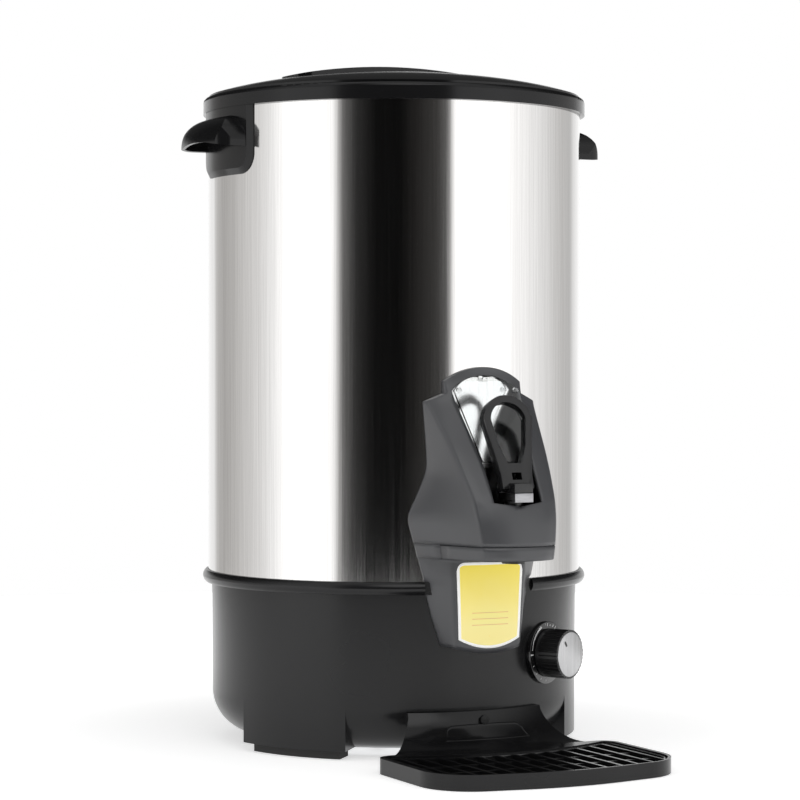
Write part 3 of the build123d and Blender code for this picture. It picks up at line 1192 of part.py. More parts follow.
def make_apron():
    """The part that sweeps up from the tray to the base's wall, wider at its foot."""
    top = (APRON_BACK_R + APRON_WALL, APRON_TOP)
    foot = (APRON_FOOT_R, TRAY_HEIGHT)
    sweep_r, sweep_height = APRON_SWEEP_R, APRON_SWEEP_HEIGHT
    outline = ThreePointArc(top, (sweep_r, sweep_height), foot)
    outline += Polyline(foot, (APRON_FOOT_R, 0), (TRAY_BACK, 0), (APRON_BACK_R, TRAY_HEIGHT),
                        (APRON_BACK_R, APRON_TOP), top)
    plan = Polyline((-APRON_TOP_HALF, -APRON_BACK_R + 30), (-APRON_TOP_HALF, -APRON_BACK_R + 6),
                    (-APRON_FOOT_HALF, -TRAY_BACK - 2), (-APRON_FOOT_HALF, -APRON_FOOT_R - 5),
                    (APRON_FOOT_HALF, -APRON_FOOT_R - 5), (APRON_FOOT_HALF, -TRAY_BACK - 2),
                    (APRON_TOP_HALF, -APRON_BACK_R + 6), (APRON_TOP_HALF, -APRON_BACK_R + 30), close=True)
    hollow = ThreePointArc((top[0] - APRON_WALL, APRON_TOP - 7),
                           (sweep_r - APRON_WALL, sweep_height - APRON_WALL),
                           (APRON_FOOT_R, TRAY_HEIGHT - APRON_WALL - 2))
    hollow += Polyline((APRON_FOOT_R, TRAY_HEIGHT - APRON_WALL - 2), (APRON_BACK_R - 5, -1),
                       (APRON_BACK_R - 5, APRON_TOP - 7), (top[0] - APRON_WALL, APRON_TOP - 7))
    apron = spun(outline) & extrude(make_face(plan), APRON_TOP)
    under = spun(hollow) & sector(30, APRON_FOOT_R * 2, -1, APRON_TOP)
    under &= block(-90, 90, 0, TRAY_BACK + 1, -1, 40)
    return apron - under


def grille_zone(grow):
    """The stretch of the tray that the grille covers, in front of the apron's foot."""
    return block(-100, 100, 100, 300, -1, 50) - disc(APRON_FOOT_R + 2 - grow, -5, 60)


def make_tray_body():
    tray = tray_form(0, 0, TRAY_HEIGHT) + make_apron()
    seat = TRAY_HEIGHT - GRILLE_DROP - GRILLE_THICK
    tray -= tray_form(TRAY_WALL, seat, TRAY_HEIGHT + 5) & grille_zone(0)
    tray -= tray_form(TRAY_WALL + LEDGE_WIDTH, TRAY_FLOOR, seat + 1) & grille_zone(-LEDGE_WIDTH)
    tray -= outward(STUD_NECK_R + SEAT_GAP, 0, STUD_HEIGHT, APRON_BACK_R - 1, APRON_FOOT_R)
    tray -= outward(STUD_R + FIT_GAP, 0, STUD_HEIGHT, STUD_SEAT, APRON_FOOT_R)
    return tray


def make_tray_stud():
    """The round stud in the middle of the apron, in a small flat recess."""
    neck = outward(STUD_NECK_R, 0, STUD_HEIGHT, APRON_BACK_R + FIT_GAP, STUD_SEAT + 1)
    return neck + outward(STUD_R, 0, STUD_HEIGHT, STUD_SEAT, STUD_SEAT + STUD_HEAD)


def make_tray_grille():
    """A frame with ribs from back to front and two cross bars."""
    low = TRAY_HEIGHT - GRILLE_DROP - GRILLE_THICK
    high = low + GRILLE_THICK
    outside = tray_form(TRAY_WALL + MOVING_GAP, low, high) & grille_zone(-MOVING_GAP)
    inside = tray_form(TRAY_WALL + GRILLE_FRAME, low - 1, high + 1)
    inside &= grille_zone(-GRILLE_FRAME)
    ribs = outside - inside
    count = int(TRAY_HALF_WIDTH / GRILLE_PITCH)
    for index in range(-count, count + 1):
        middle = index * GRILLE_PITCH
        if abs(middle) < TRAY_HALF_WIDTH - TRAY_WALL - GRILLE_FRAME:
            ribs += outside & block(middle - GRILLE_RIB / 2, middle + GRILLE_RIB / 2,
                                    TRAY_BACK, TRAY_FRONT, low, high)
    for out in GRILLE_BARS:
        ribs += outside & block(-TRAY_HALF_WIDTH, TRAY_HALF_WIDTH, out - GRILLE_BAR_WIDTH / 2,
                                out + GRILLE_BAR_WIDTH / 2, low, high - GRILLE_BAR_DROP)
    return ribs


def save(node, shapes):
    """Write one node: a single solid, or a group of separate ones."""
    group = shapes if isinstance(shapes, list) else [shapes]
    solids = [solid for shape in group for solid in shape.solids()]
    export_step(solids[0] if len(solids) == 1 else Compound(children=solids), f"parts/{node}.step")


save("outer_jacket", make_outer_jacket())
save("inner_tank", make_inner_tank())
save("tank_floor", make_tank_floor())
save("base_shell", make_base_shell())
save("bottom_plate", make_bottom_plate())
for name, angle in zip(("foot_pad_left", "foot_pad_right", "foot_pad_rear"), FOOT_ANGLES):
    save(name, make_foot_pad(angle))
save("tie_rods", make_tie_rods())
save("tie_nuts", make_tie_nuts())
save("top_rim", make_top_rim())
save("handle_screws", make_handle_screws())
save("lid", make_lid())
save("lid_dish", make_lid_dish())
save("lid_grip", make_lid_grip())
save("lid_screws", make_lid_screws())
save("lid_seal", make_lid_seal())
save("heat_plate", disc(HEAT_PLATE_R, HEAT_PLATE_LOW, TANK_FLOOR))
save("heating_element", make_heating_element())
save("thermal_cutout", make_thermal_cutout())
save("thermostat", make_thermostat())
save("thermostat_screws", make_thermostat_screws())
save("thermostat_sensor", make_sensor())
save("thermostat_shaft", make_thermostat_shaft())
save("wire_live", make_live_wire())
save("wire_heater", make_heater_wire())
save("wire_neutral", make_neutral_wire())
save("dial_plate", make_dial_plate())
save("knob_body", make_knob_body())
save("knob_cap", make_knob_cap())
save("power_inlet", make_power_inlet())
save("inlet_pins", make_inlet_pins())
save("inlet_screws", make_inlet_screws())
save("tap_body", make_tap_body())
save("spout_nozzle", make_spout_nozzle())
save("outer_washer", make_outer_washer())
save("spacer_bush", make_spacer_bush())
save("inner_washer", make_inner_washer())
save("shank_nut", make_shank_nut())
save("bonnet_plate", make_bonnet_plate())
save("valve_cup", make_valve_cup())
save("valve_plunger", make_valve_plunger())
save("valve_spring", make_valve_spring())
save("lever", make_lever())
save("lever_pin", make_lever_pin())
save("tap_cover", make_tap_cover())
save("nose_collar", make_nose_collar())
save("cover_screws", make_cover_screws())
save("tap_window", make_tap_window())
save("window_shield", make_window_shield())
save("label_plate", make_label_plate())
save("tray_body", make_tray_body())
save("tray_stud", make_tray_stud())
save("tray_grille", make_tray_grille())
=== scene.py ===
import json
import math

import bmesh
import bpy
import numpy as np
from mathutils import Euler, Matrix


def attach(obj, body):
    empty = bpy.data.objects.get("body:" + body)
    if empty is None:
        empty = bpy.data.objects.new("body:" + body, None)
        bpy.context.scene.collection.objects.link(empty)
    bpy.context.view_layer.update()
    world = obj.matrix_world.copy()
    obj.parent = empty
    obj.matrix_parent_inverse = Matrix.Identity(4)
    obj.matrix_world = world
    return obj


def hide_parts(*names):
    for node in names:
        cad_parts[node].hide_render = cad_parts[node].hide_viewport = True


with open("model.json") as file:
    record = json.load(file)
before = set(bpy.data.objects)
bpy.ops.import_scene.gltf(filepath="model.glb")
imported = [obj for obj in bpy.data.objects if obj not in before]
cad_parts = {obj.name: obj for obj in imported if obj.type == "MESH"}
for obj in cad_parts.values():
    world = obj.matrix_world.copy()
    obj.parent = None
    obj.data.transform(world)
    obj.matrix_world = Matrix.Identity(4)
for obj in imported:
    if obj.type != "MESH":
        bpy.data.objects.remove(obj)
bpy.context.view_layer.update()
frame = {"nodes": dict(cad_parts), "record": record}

# The tables of the urn's pieces are in millimetres. The camera, the studio, the dial's planes and
# whatever a modifier or a material takes are in metres.
MM = 0.001

# ---- camera and studio ----
CAMERA_TURN = math.radians(26.5)      # how far the camera stands round from the tap, to the left
CAMERA_AWAY = 1.941                   # from the urn's axis
CAMERA_HEIGHT = 0.269
CAMERA_LENS = 119.75                  # millimetres, as the sensor's width is
SENSOR_WIDTH = 36.0
CAMERA_PITCH = math.radians(-0.7126)
CAMERA_YAW = math.radians(-0.1335)
CAMERA_ROLL = math.radians(0.05)

FLOOR_RADIUS = 1.25
FLOOR_DROP = 0.0003                   # under the lowest face of the urn
FLOOR_RINGS = 12
FLOOR_TURNS = 96
GLOW_START, GLOW_STOP = 0.18, 0.6     # the floor's own light grows between these distances
GLOW_LOW, GLOW_HIGH = 0.57, 0.93

# The studio's wall of soft light, as (degrees to the right of the camera, brightness, warmth).
STUDIO_WALL = (
    (-178, 1.10, 0.0), (-146, 0.98, 0.0), (-140, 0.60, 0.03), (-128, 0.50, 0.04),
    (-112, 0.64, 0.03), (-89, 0.90, 0.01), (-79, 1.12, 0.0), (-68, 1.55, 0.0), (-46, 1.55, 0.0),
    (-37, 1.38, 0.0), (-34, 0.62, 0.02), (-31, 0.15, 0.02), (-23, 0.03, 0.02), (-12, 0.006, 0.0),
    (4, 0.004, 0.0), (14, 0.02, 0.08), (26, 0.05, 0.06), (32, 0.11, 0.03), (34, 0.40, 0.01),
    (37, 1.50, 0.0), (66, 1.60, 0.0), (80, 1.28, 0.0), (100, 1.02, 0.0), (115, 0.80, 0.01),
    (126, 0.66, 0.02), (139, 0.62, 0.01), (146, 0.92, 0.0), (162, 1.10, 0.0), (178, 1.10, 0.0),
)
HEADROOM = 2                          # colours are kept at this fraction, and the strength undoes it
SHADE_FRONT, SHADE_BACK = -0.3, 0.4   # the wall's upper part is shaded more and more between these
SHADE_IN_FRONT = 0.35
SHADE_LOW, SHADE_HIGH = 0.1, 0.24     # and from this rise up to this one
SHADE_DEPTH = 0.96
CEILING = 0.8                         # brightness overhead, from the first rise to the second
CEILING_EDGE, CEILING_FULL = 0.8, 0.95
LAMP = 2.0                            # a soft lamp high in front of the urn
LAMP_WAY = (0.12, -0.72, 0.68)
LAMP_EDGE, LAMP_FULL = 0.90, 0.985    # cosines of the angle away from the lamp's middle


# ---- small tools for node trees ----
def put(tree, kind, inputs=None, **settings):
    """Adds a node, sets what it is, and sets or links its inputs."""
    made = tree.nodes.new(kind)
    for name, value in settings.items():
        setattr(made, name, value)
    for name, value in (inputs or {}).items():
        socket = made.inputs[name]
        if isinstance(value, bpy.types.NodeSocket):
            tree.links.new(value, socket)
        else:
            socket.default_value = value
    return made


def sums(tree, operation, *terms):
    """One step of arithmetic on numbers or sockets."""
    return put(tree, "ShaderNodeMath", dict(enumerate(terms)), operation=operation).outputs[0]


def mixed(tree, share, first, second):
    """A colour between two colours."""
    colours = {0: share, 6: first, 7: second}
    return put(tree, "ShaderNodeMix", colours, data_type="RGBA").outputs[2]


def ranged(tree, value, start=0.0, stop=1.0, low=0.0, high=1.0, smooth=False):
    """A number that goes from low to high while the value goes from start to stop, and no further."""
    ends = {"Value": value, "From Min": start, "From Max": stop, "To Min": low, "To Max": high}
    way = "SMOOTHSTEP" if smooth else "LINEAR"
    return put(tree, "ShaderNodeMapRange", ends, interpolation_type=way).outputs[0]


def between(tree, value, low, high, edge):
    """One inside a range of values, none outside it, with a soft edge."""
    rise = ranged(tree, value, low - edge, low + edge)
    fall = ranged(tree, value, high - edge, high + edge, 1.0, 0.0)
    return sums(tree, "MULTIPLY", rise, fall)


def noise(tree, place, scale, detail=2.0, roughness=0.5):
    """Cloudy noise from nought to one, with this many waves to the unit of its place."""
    return put(tree, "ShaderNodeTexNoise", {"Vector": place, "Scale": scale, "Detail": detail,
                                            "Roughness": roughness}).outputs[0]


def own_place(tree):
    """The place on the object itself."""
    return put(tree, "ShaderNodeTexCoord").outputs["Object"]


def attribute(tree, name):
    """A number that the mesh carries at its points."""
    return put(tree, "ShaderNodeAttribute", attribute_name=name).outputs["Fac"]


def group(name, inputs, outputs):
    """An empty node group with these named sockets, as (tree, given values, results)."""
    made = bpy.data.node_groups.new(name, "ShaderNodeTree")
    for label, kind, value in inputs:
        socket = made.interface.new_socket(label, in_out="INPUT", socket_type="NodeSocket" + kind)
        socket.default_value = value
    for label, kind in outputs:
        made.interface.new_socket(label, in_out="OUTPUT", socket_type="NodeSocket" + kind)
    given, out = made.nodes.new("NodeGroupInput").outputs, made.nodes.new("NodeGroupOutput").inputs
    return made, given, out


# ---- effects that several finishes share ----
def make_moulded_grain():
    """Moulded plastic: a cloudy tone, gloss that drifts with it, and a fine pebbled height."""
    tree, given, out = group("moulded_grain", [
        ("Colour", "Color", (0.01, 0.01, 0.01, 1)), ("Cloud", "Color", (0.02, 0.02, 0.02, 1)),
        ("Roughness", "Float", 0.4), ("Spread", "Float", 0.08), ("Grain", "Float", 900.0)],
        [("Color", "Color"), ("Roughness", "Float"), ("Height", "Float")])
    place = own_place(tree)
    cloud = noise(tree, place, 14.0, 3.0)
    pebble = noise(tree, place, given["Grain"])
    tree.links.new(mixed(tree, cloud, given["Colour"], given["Cloud"]), out["Color"])
    drift = sums(tree, "SUBTRACT", cloud, 0.5)
    fine = sums(tree, "MULTIPLY", sums(tree, "SUBTRACT", pebble, 0.5), 0.5)
    change = sums(tree, "MULTIPLY", sums(tree, "ADD", drift, fine), given["Spread"])
    tree.links.new(sums(tree, "ADD", given["Roughness"], change), out["Roughness"])
    tree.links.new(pebble, out["Height"])
    return tree


def make_brushed_lines():
    """Brushed metal: noise drawn out along the brushing into hairlines, in tone, gloss and height,
    over broader bands of the same."""
    tree, given, out = group("brushed_lines", [
        ("Vector", "Vector", (0, 0, 0)), ("Colour", "Color", (0.6, 0.6, 0.6, 1)),
        ("Line", "Color", (0.5, 0.5, 0.5, 1)), ("Roughness", "Float", 0.2),
        ("Spread", "Float", 0.1)],
        [("Color", "Color"), ("Roughness", "Float"), ("Height", "Float")])
    line = noise(tree, given["Vector"], 1.0, 5.0, 0.7)
    broad = put(tree, "ShaderNodeVectorMath", {0: given["Vector"], 1: (0.09, 0.09, 0.4)},
                operation="MULTIPLY").outputs[0]
    wide = noise(tree, broad, 1.0, 3.0)
    sharp = ranged(tree, line, 0.3, 0.7)
    tree.links.new(mixed(tree, sharp, given["Line"], given["Colour"]), out["Color"])
    drift = sums(tree, "ADD", sums(tree, "SUBTRACT", sharp, 0.5), sums(tree, "SUBTRACT", wide, 0.5))
    change = sums(tree, "MULTIPLY", drift, given["Spread"])
    tree.links.new(sums(tree, "ADD", given["Roughness"], change), out["Roughness"])
    tree.links.new(sums(tree, "ADD", sums(tree, "MULTIPLY", sharp, 0.6), wide), out["Height"])
    return tree


MOULDED = make_moulded_grain()
BRUSHED = make_brushed_lines()


# ---- finishes ----
def finish_shell(name):
    """A material with its surface shader ready, as (material, tree, shader)."""
    made = bpy.data.materials.new(name)
    made.use_nodes = True
    tree = made.node_tree
    return made, tree, tree.nodes["Principled BSDF"]


def feed(tree, shader, colour, roughness, height, strength, distance):
    """Leads a colour and a roughness to the shader, and a height to its normal through a bump."""
    tree.links.new(colour, shader.inputs["Base Color"])
    tree.links.new(roughness, shader.inputs["Roughness"])
    raised = put(tree, "ShaderNodeBump",
                 {"Height": height, "Strength": strength, "Distance": distance})
    tree.links.new(raised.outputs[0], shader.inputs["Normal"])


def plastic(name, colour, cloud, roughness, spread=0.08, grain=900.0, depth=0.00002, level=0.5,
            coat=0.0, coat_rough=0.1):
    """A moulded plastic, satin or glossy."""
    made, tree, shader = finish_shell(name)
    look = put(tree, "ShaderNodeGroup", {
        "Colour": colour + (1,), "Cloud": cloud + (1,), "Roughness": roughness, "Spread": spread,
        "Grain": grain}, node_tree=MOULDED).outputs
    shader.inputs["Coat Weight"].default_value = coat
    shader.inputs["Coat Roughness"].default_value = coat_rough
    shader.inputs["Specular IOR Level"].default_value = level
    feed(tree, shader, look["Color"], look["Roughness"], look["Height"], 0.5, depth)
    return made


def metal(name, colour, line, roughness, spread, stretch):
    """A brushed, drawn or turned metal, whose hairlines run along its least stretched direction."""
    made, tree, shader = finish_shell(name)
    place = put(tree, "ShaderNodeMapping", {"Vector": own_place(tree), "Scale": stretch}).outputs[0]
    look = put(tree, "ShaderNodeGroup", {
        "Vector": place, "Colour": colour + (1,), "Line": line + (1,), "Roughness": roughness,
        "Spread": spread}, node_tree=BRUSHED).outputs
    shader.inputs["Metallic"].default_value = 1.0
    feed(tree, shader, look["Color"], look["Roughness"], look["Height"], 0.35, 0.00001)
    return made


def clear_plastic():
    """Clear plastic with faint flow marks."""
    made, tree, shader = finish_shell("clear_plastic")
    flow = noise(tree, own_place(tree), 60.0)
    tint = mixed(tree, flow, (0.93, 0.95, 0.95, 1), (0.99, 1, 1, 1))
    shader.inputs["Transmission Weight"].default_value = 1.0
    shader.inputs["IOR"].default_value = 1.49
    feed(tree, shader, tint, ranged(tree, flow, low=0.02, high=0.07), flow, 0.2, 0.0002)
    return made


def white_print():
    """Screen-printed white with slightly uneven cover."""
    made, tree, shader = finish_shell("white_print")
    cloud = noise(tree, own_place(tree), 800.0)
    tint = mixed(tree, cloud, (0.72, 0.72, 0.72, 1), (0.85, 0.85, 0.85, 1))
    feed(tree, shader, tint, ranged(tree, cloud, low=0.3, high=0.45), cloud, 0.1, 0.00001)
    return made


def label_film():
    """Yellow film, deeper at the top, with a white border and a few plain thin rules, and a faint
    painted glow in its own colours.
    """
    made, tree, shader = finish_shell("label_film")
    rim, rise = attribute(tree, "rim"), attribute(tree, "rise")
    across = attribute(tree, "across")
    cloud = noise(tree, own_place(tree), 90.0, 3.0)
    deep = ranged(tree, rise, 0.25, 1.0)
    ground = mixed(tree, deep, (0.95, 0.82, 0.30, 1), (0.95, 0.76, 0.035, 1))
    ground = mixed(tree, sums(tree, "MULTIPLY", cloud, 0.12), ground, (0.95, 0.9, 0.55, 1))
    rules = 0.0
    for height in RULE_HEIGHTS:
        line = sums(tree, "MULTIPLY", between(tree, rise, height, height + RULE_TALL, 0.003),
                    between(tree, across, -RULE_HALF, RULE_HALF, 0.01))
        rules = sums(tree, "MAXIMUM", rules, line)
    ground = mixed(tree, sums(tree, "MULTIPLY", rules, 0.5), ground, (0.25, 0.22, 0.12, 1))
    border = between(tree, rim, -9.0, BORDER_WIDTH, 0.12)
    colour = mixed(tree, border, ground, (0.93, 0.93, 0.91, 1))
    # painted light: the film glows faintly in its own colours, border and rules included, though it is
    # no lamp
    tree.links.new(colour, shader.inputs["Emission Color"])
    shader.inputs["Emission Strength"].default_value = 0.2
    feed(tree, shader, colour, ranged(tree, cloud, low=0.24, high=0.36), cloud, 0.1, 0.00005)
    return made


BLACK = (0.0065, 0.0065, 0.007)
BLACK_CLOUD = (0.010, 0.010, 0.0105)
# finish: colour, colour of its clouds, roughness, how far that drifts, pebbles to the metre, their
# depth, how strongly it mirrors, and a clear coat with its roughness
PLASTICS = {
    "base_plastic": (BLACK, BLACK_CLOUD, 0.23, 0.04, 900.0, 0.000004, 0.32),
    "foot_rubber": ((0.02, 0.02, 0.02), (0.035, 0.034, 0.033), 0.8, 0.1, 1400.0, 0.00005),
    "rim_plastic": (BLACK, BLACK_CLOUD, 0.16, 0.04, 700.0, 0.000004, 0.25),
    "phenolic": ((0.05, 0.028, 0.018), (0.08, 0.045, 0.03), 0.45),
    "wire_sleeve": ((0.7, 0.68, 0.62), (0.55, 0.52, 0.46), 0.6, 0.1, 1500.0, 0.00008),
    "dial_gloss": (BLACK, BLACK_CLOUD, 0.14, 0.05, 500.0, 0.000004, 0.5, 0.6, 0.06),
    "tap_plastic": (BLACK, BLACK_CLOUD, 0.3),
    "silicone": ((0.62, 0.62, 0.6), (0.5, 0.5, 0.48), 0.55),
    "cover_plastic": ((0.048, 0.049, 0.052), (0.078, 0.079, 0.085), 0.33, 0.06, 900.0, 0.000008),
    "label_yellow": ((0.92, 0.72, 0.03), (0.95, 0.78, 0.06), 0.3, 0.05, 400.0, 0.000004),
    "lid_gloss": (BLACK, BLACK_CLOUD, 0.12, 0.04, 500.0, 0.000004, 0.28),
    "lever_plastic": (BLACK, BLACK_CLOUD, 0.16, 0.05, 700.0, 0.000006),
    "knob_plastic": (BLACK, BLACK_CLOUD, 0.3),
    "tray_gloss": (BLACK, BLACK_CLOUD, 0.16, 0.05, 500.0, 0.000004, 0.3),
    "grille_gloss": (BLACK, BLACK_CLOUD, 0.16, 0.06, 500.0, 0.000006),
}
# finish: colour, colour of its hairlines, roughness, how far that drifts, and waves to the metre
# along X, Y and Z
METALS = {
    "jacket_steel": ((0.80, 0.79, 0.78), (0.66, 0.65, 0.64), 0.09, 0.05, (900, 900, 7)),
    "tank_steel": ((0.72, 0.71, 0.69), (0.6, 0.59, 0.58), 0.24, 0.1, (260, 260, 30)),
    "plate_steel": ((0.55, 0.56, 0.57), (0.45, 0.46, 0.47), 0.4, 0.15, (60, 900, 60)),
    "zinc_steel": ((0.62, 0.62, 0.6), (0.5, 0.5, 0.46), 0.35, 0.15, (300, 300, 300)),
    "cast_aluminium": ((0.6, 0.6, 0.6), (0.5, 0.5, 0.5), 0.5, 0.2, (400, 400, 400)),
    "element_steel": ((0.35, 0.33, 0.31), (0.22, 0.2, 0.19), 0.35, 0.2, (120, 120, 120)),
    "pin_brass": ((0.78, 0.6, 0.3), (0.65, 0.48, 0.22), 0.25, 0.1, (300, 30, 300)),
    "bonnet_metal": ((0.42, 0.42, 0.43), (0.25, 0.25, 0.26), 0.3, 0.1, (60, 60, 900)),
    "spring_steel": ((0.6, 0.6, 0.6), (0.5, 0.5, 0.5), 0.25, 0.1, (400, 400, 400)),
    "shield_steel": ((0.85, 0.85, 0.85), (0.75, 0.75, 0.75), 0.15, 0.06, (900, 900, 7)),
    "knob_aluminium": ((0.56, 0.56, 0.565), (0.40, 0.40, 0.405), 0.3, 0.1, (900, 900, 14)),
}
FINISHES = {name: plastic(name, *values) for name, values in PLASTICS.items()}
FINISHES.update((name, metal(name, *values)) for name, values in METALS.items())
FINISHES["clear_plastic"] = clear_plastic()


def dress_cad_nodes():
    """Gives each node of the frame the finish that its record names."""
    for row in frame["record"]["subparts"]:
        data = frame["nodes"][row["node"]].data
        data.materials.clear()
        data.materials.append(FINISHES[row["material_slot"]])


def make_camera():
    """A camera on a level circle round the urn, turned to the urn's axis and then a little by its own
    angles."""
    data = bpy.data.cameras.new("camera")
    data.lens = CAMERA_LENS
    data.sensor_width = SENSOR_WIDTH
    camera = bpy.data.objects.new("camera", data)
    bpy.context.scene.collection.objects.link(camera)
    camera.location = (-CAMERA_AWAY * math.sin(CAMERA_TURN), -CAMERA_AWAY * math.cos(CAMERA_TURN),
                       CAMERA_HEIGHT)
    level = Euler((math.pi / 2 + CAMERA_PITCH, 0, CAMERA_YAW - CAMERA_TURN)).to_matrix()
    camera.rotation_euler = (level @ Euler((0, 0, CAMERA_ROLL)).to_matrix()).to_euler()
    bpy.context.scene.camera = camera


def studio_wall(tree, towards_right, towards_camera):
    """The wall's light as a ramp round the urn, by the angle from the camera."""
    angle = sums(tree, "ARCTAN2", towards_right, towards_camera)
    share = sums(tree, "ADD", sums(tree, "DIVIDE", angle, 2 * math.pi), 0.5)
    wall = put(tree, "ShaderNodeValToRGB", {"Fac": share})
    stops = wall.color_ramp.elements
    while len(stops) < len(STUDIO_WALL):
        stops.new(0.5)
    for stop, (degrees, *_) in zip(stops, STUDIO_WALL):
        stop.position = degrees / 360 + 0.5
    for stop, (_, light, warmth) in zip(stops, STUDIO_WALL):
        stop.color = (*(light * (1 - warmth * tint) / HEADROOM for tint in (0, 0.5, 1)), 1)
    return wall.outputs[0]


def grey(light):
    """An even light, as the studio keeps its colours."""
    return (light / HEADROOM,) * 3 + (1,)


def make_studio():
    """A round wall of soft light with a dark gap behind the camera and a shaded upper part, a ceiling
    and a lamp. The camera itself sees plain white."""
    world = bpy.data.worlds.new("studio")
    bpy.context.scene.world = world
    world.use_nodes = True
    tree = world.node_tree
    tree.nodes.clear()
    way = put(tree, "ShaderNodeTexCoord").outputs["Generated"]
    way = put(tree, "ShaderNodeMapping", {"Vector": way, "Rotation": (0, 0, CAMERA_TURN)},
              vector_type="POINT").outputs[0]
    right, back, up = put(tree, "ShaderNodeSeparateXYZ", {"Vector": way}).outputs
    wall = studio_wall(tree, right, sums(tree, "MULTIPLY", back, -1.0))
    behind = ranged(tree, back, SHADE_FRONT, SHADE_BACK, low=SHADE_IN_FRONT, smooth=True)
    above = ranged(tree, up, SHADE_LOW, SHADE_HIGH, high=SHADE_DEPTH, smooth=True)
    soft = mixed(tree, sums(tree, "MULTIPLY", behind, above), wall, (0.0, 0.0, 0.0, 1))
    overhead = ranged(tree, up, CEILING_EDGE, CEILING_FULL, smooth=True)
    soft = mixed(tree, overhead, soft, grey(CEILING))
    near = put(tree, "ShaderNodeVectorMath", {0: way, 1: LAMP_WAY},
               operation="DOT_PRODUCT").outputs["Value"]
    soft = mixed(tree, ranged(tree, near, LAMP_EDGE, LAMP_FULL, smooth=True), soft, grey(LAMP))
    lit = put(tree, "ShaderNodeBackground", {"Color": soft, "Strength": HEADROOM}).outputs[0]
    plain = put(tree, "ShaderNodeBackground", {"Color": (1, 1, 1, 1), "Strength": 1.0}).outputs[0]
    seen = put(tree, "ShaderNodeLightPath").outputs["Is Camera Ray"]
    both = put(tree, "ShaderNodeMixShader", {0: seen, 1: lit, 2: plain})
    put(tree, "ShaderNodeOutputWorld", {"Surface": both.outputs[0]})


def make_floor():
    """A flat white disc: each point is its ring's radius times (cos, sin) of its turn. It glows more
    and more away from the urn, so that its edge melts into the white behind it."""
    turns = np.linspace(0, 2 * np.pi, FLOOR_TURNS + 1)[:-1]
    rings = np.linspace(0.02, FLOOR_RADIUS, FLOOR_RINGS)
    points = np.stack([np.outer(rings, np.cos(turns)), np.outer(rings, np.sin(turns)),
                       np.full((FLOOR_RINGS, FLOOR_TURNS), -FLOOR_DROP)], axis=-1)
    floor = sheet_object("floor", points, wrap=True)
    made, tree, shader = finish_shell("floor_white")
    place = own_place(tree)
    tint = mixed(tree, noise(tree, place, 3.0), (0.84, 0.84, 0.84, 1), (0.86, 0.86, 0.86, 1))
    tree.links.new(tint, shader.inputs["Base Color"])
    shader.inputs["Roughness"].default_value = 0.6
    shader.inputs["Specular IOR Level"].default_value = 0.2
    away = put(tree, "ShaderNodeVectorMath", {0: place}, operation="LENGTH").outputs["Value"]
    glow = ranged(tree, away, GLOW_START, GLOW_STOP, GLOW_LOW, GLOW_HIGH, smooth=True)
    tree.links.new(glow, shader.inputs["Emission Strength"])
    shader.inputs["Emission Color"].default_value = (1, 1, 1, 1)
    floor.data.materials.append(made)


# ---- surfaces from grids of points ----
def grid_faces(rows, columns, wrap=False):
    """Quads between neighbouring rows and columns of points, numbered row by row."""
    last = columns if wrap else columns - 1
    row, column = np.meshgrid(np.arange(rows - 1), np.arange(last), indexing="ij")
    after = (column + 1) % columns
    return np.stack([row * columns + column, row * columns + after, (row + 1) * columns + after,
                     (row + 1) * columns + column], axis=-1).reshape(-1, 4)


def smoothed(mesh):
    """The same mesh with all its faces shaded smooth."""
    mesh.polygons.foreach_set("use_smooth", [True] * len(mesh.polygons))
    return mesh


def linked(name, mesh):
    """A new object of a mesh, in the scene and at its origin."""
    made = bpy.data.objects.new(name, mesh)
    bpy.context.scene.collection.objects.link(made)
    return made


def mesh_object(name, points, faces):
    """A smooth object from whole arrays of points and faces."""
    mesh = bpy.data.meshes.new(name)
    mesh.from_pydata(points.reshape(-1, 3).tolist(), [], faces.tolist())
    return linked(name, smoothed(mesh))


def sheet_object(name, points, wrap=False):
    """A surface through a grid of points, closed round where its columns wrap."""
    rows, columns = points.shape[:2]
    return mesh_object(name, points, grid_faces(rows, columns, wrap))


def sheets_object(name, grids):
    """One object from several grids of points."""
    points, faces, start = [], [], 0
    for grid in grids:
        points.append(grid.reshape(-1, 3))
        faces.append(grid_faces(*grid.shape[:2]) + start)
        start += grid.shape[0] * grid.shape[1]
    return mesh_object(name, np.concatenate(points), np.concatenate(faces))


def facing(grid, outward):
    """The same grid, with its columns turned round where its faces would look against a direction."""
    along, up = np.diff(grid, axis=1)[:-1], np.diff(grid, axis=0)[:, :-1]
    ahead = np.cross(along, up).sum(axis=(0, 1)) @ np.asarray(outward, float) > 0
    return grid if ahead else grid[:, ::-1]


def welded(piece, distance=0.00002):
    """The same piece with doubled points merged and faces without area dropped."""
    made = bmesh.new()
    made.from_mesh(piece.data)
    bmesh.ops.remove_doubles(made, verts=made.verts, dist=distance)
    bmesh.ops.dissolve_degenerate(made, edges=made.edges, dist=distance / 4)
    made.to_mesh(piece.data)
    made.free()
    return piece


def thickened(piece, thickness):
    """The same piece with a wall behind its faces."""
    shell = piece.modifiers.new("wall", "SOLIDIFY")
    shell.thickness = thickness
    shell.offset = -1.0
    return piece


def dressed(piece, body, slot, material=None, replaces=()):
    """Gives a new piece its finish, which is the one its slot names unless a material is given, and its
    body, and hides the node that it stands for.
    """
    piece.data.materials.append(material or FINISHES[slot])
    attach(piece, body)
    if replaces:
        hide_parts(*replaces)
    return piece


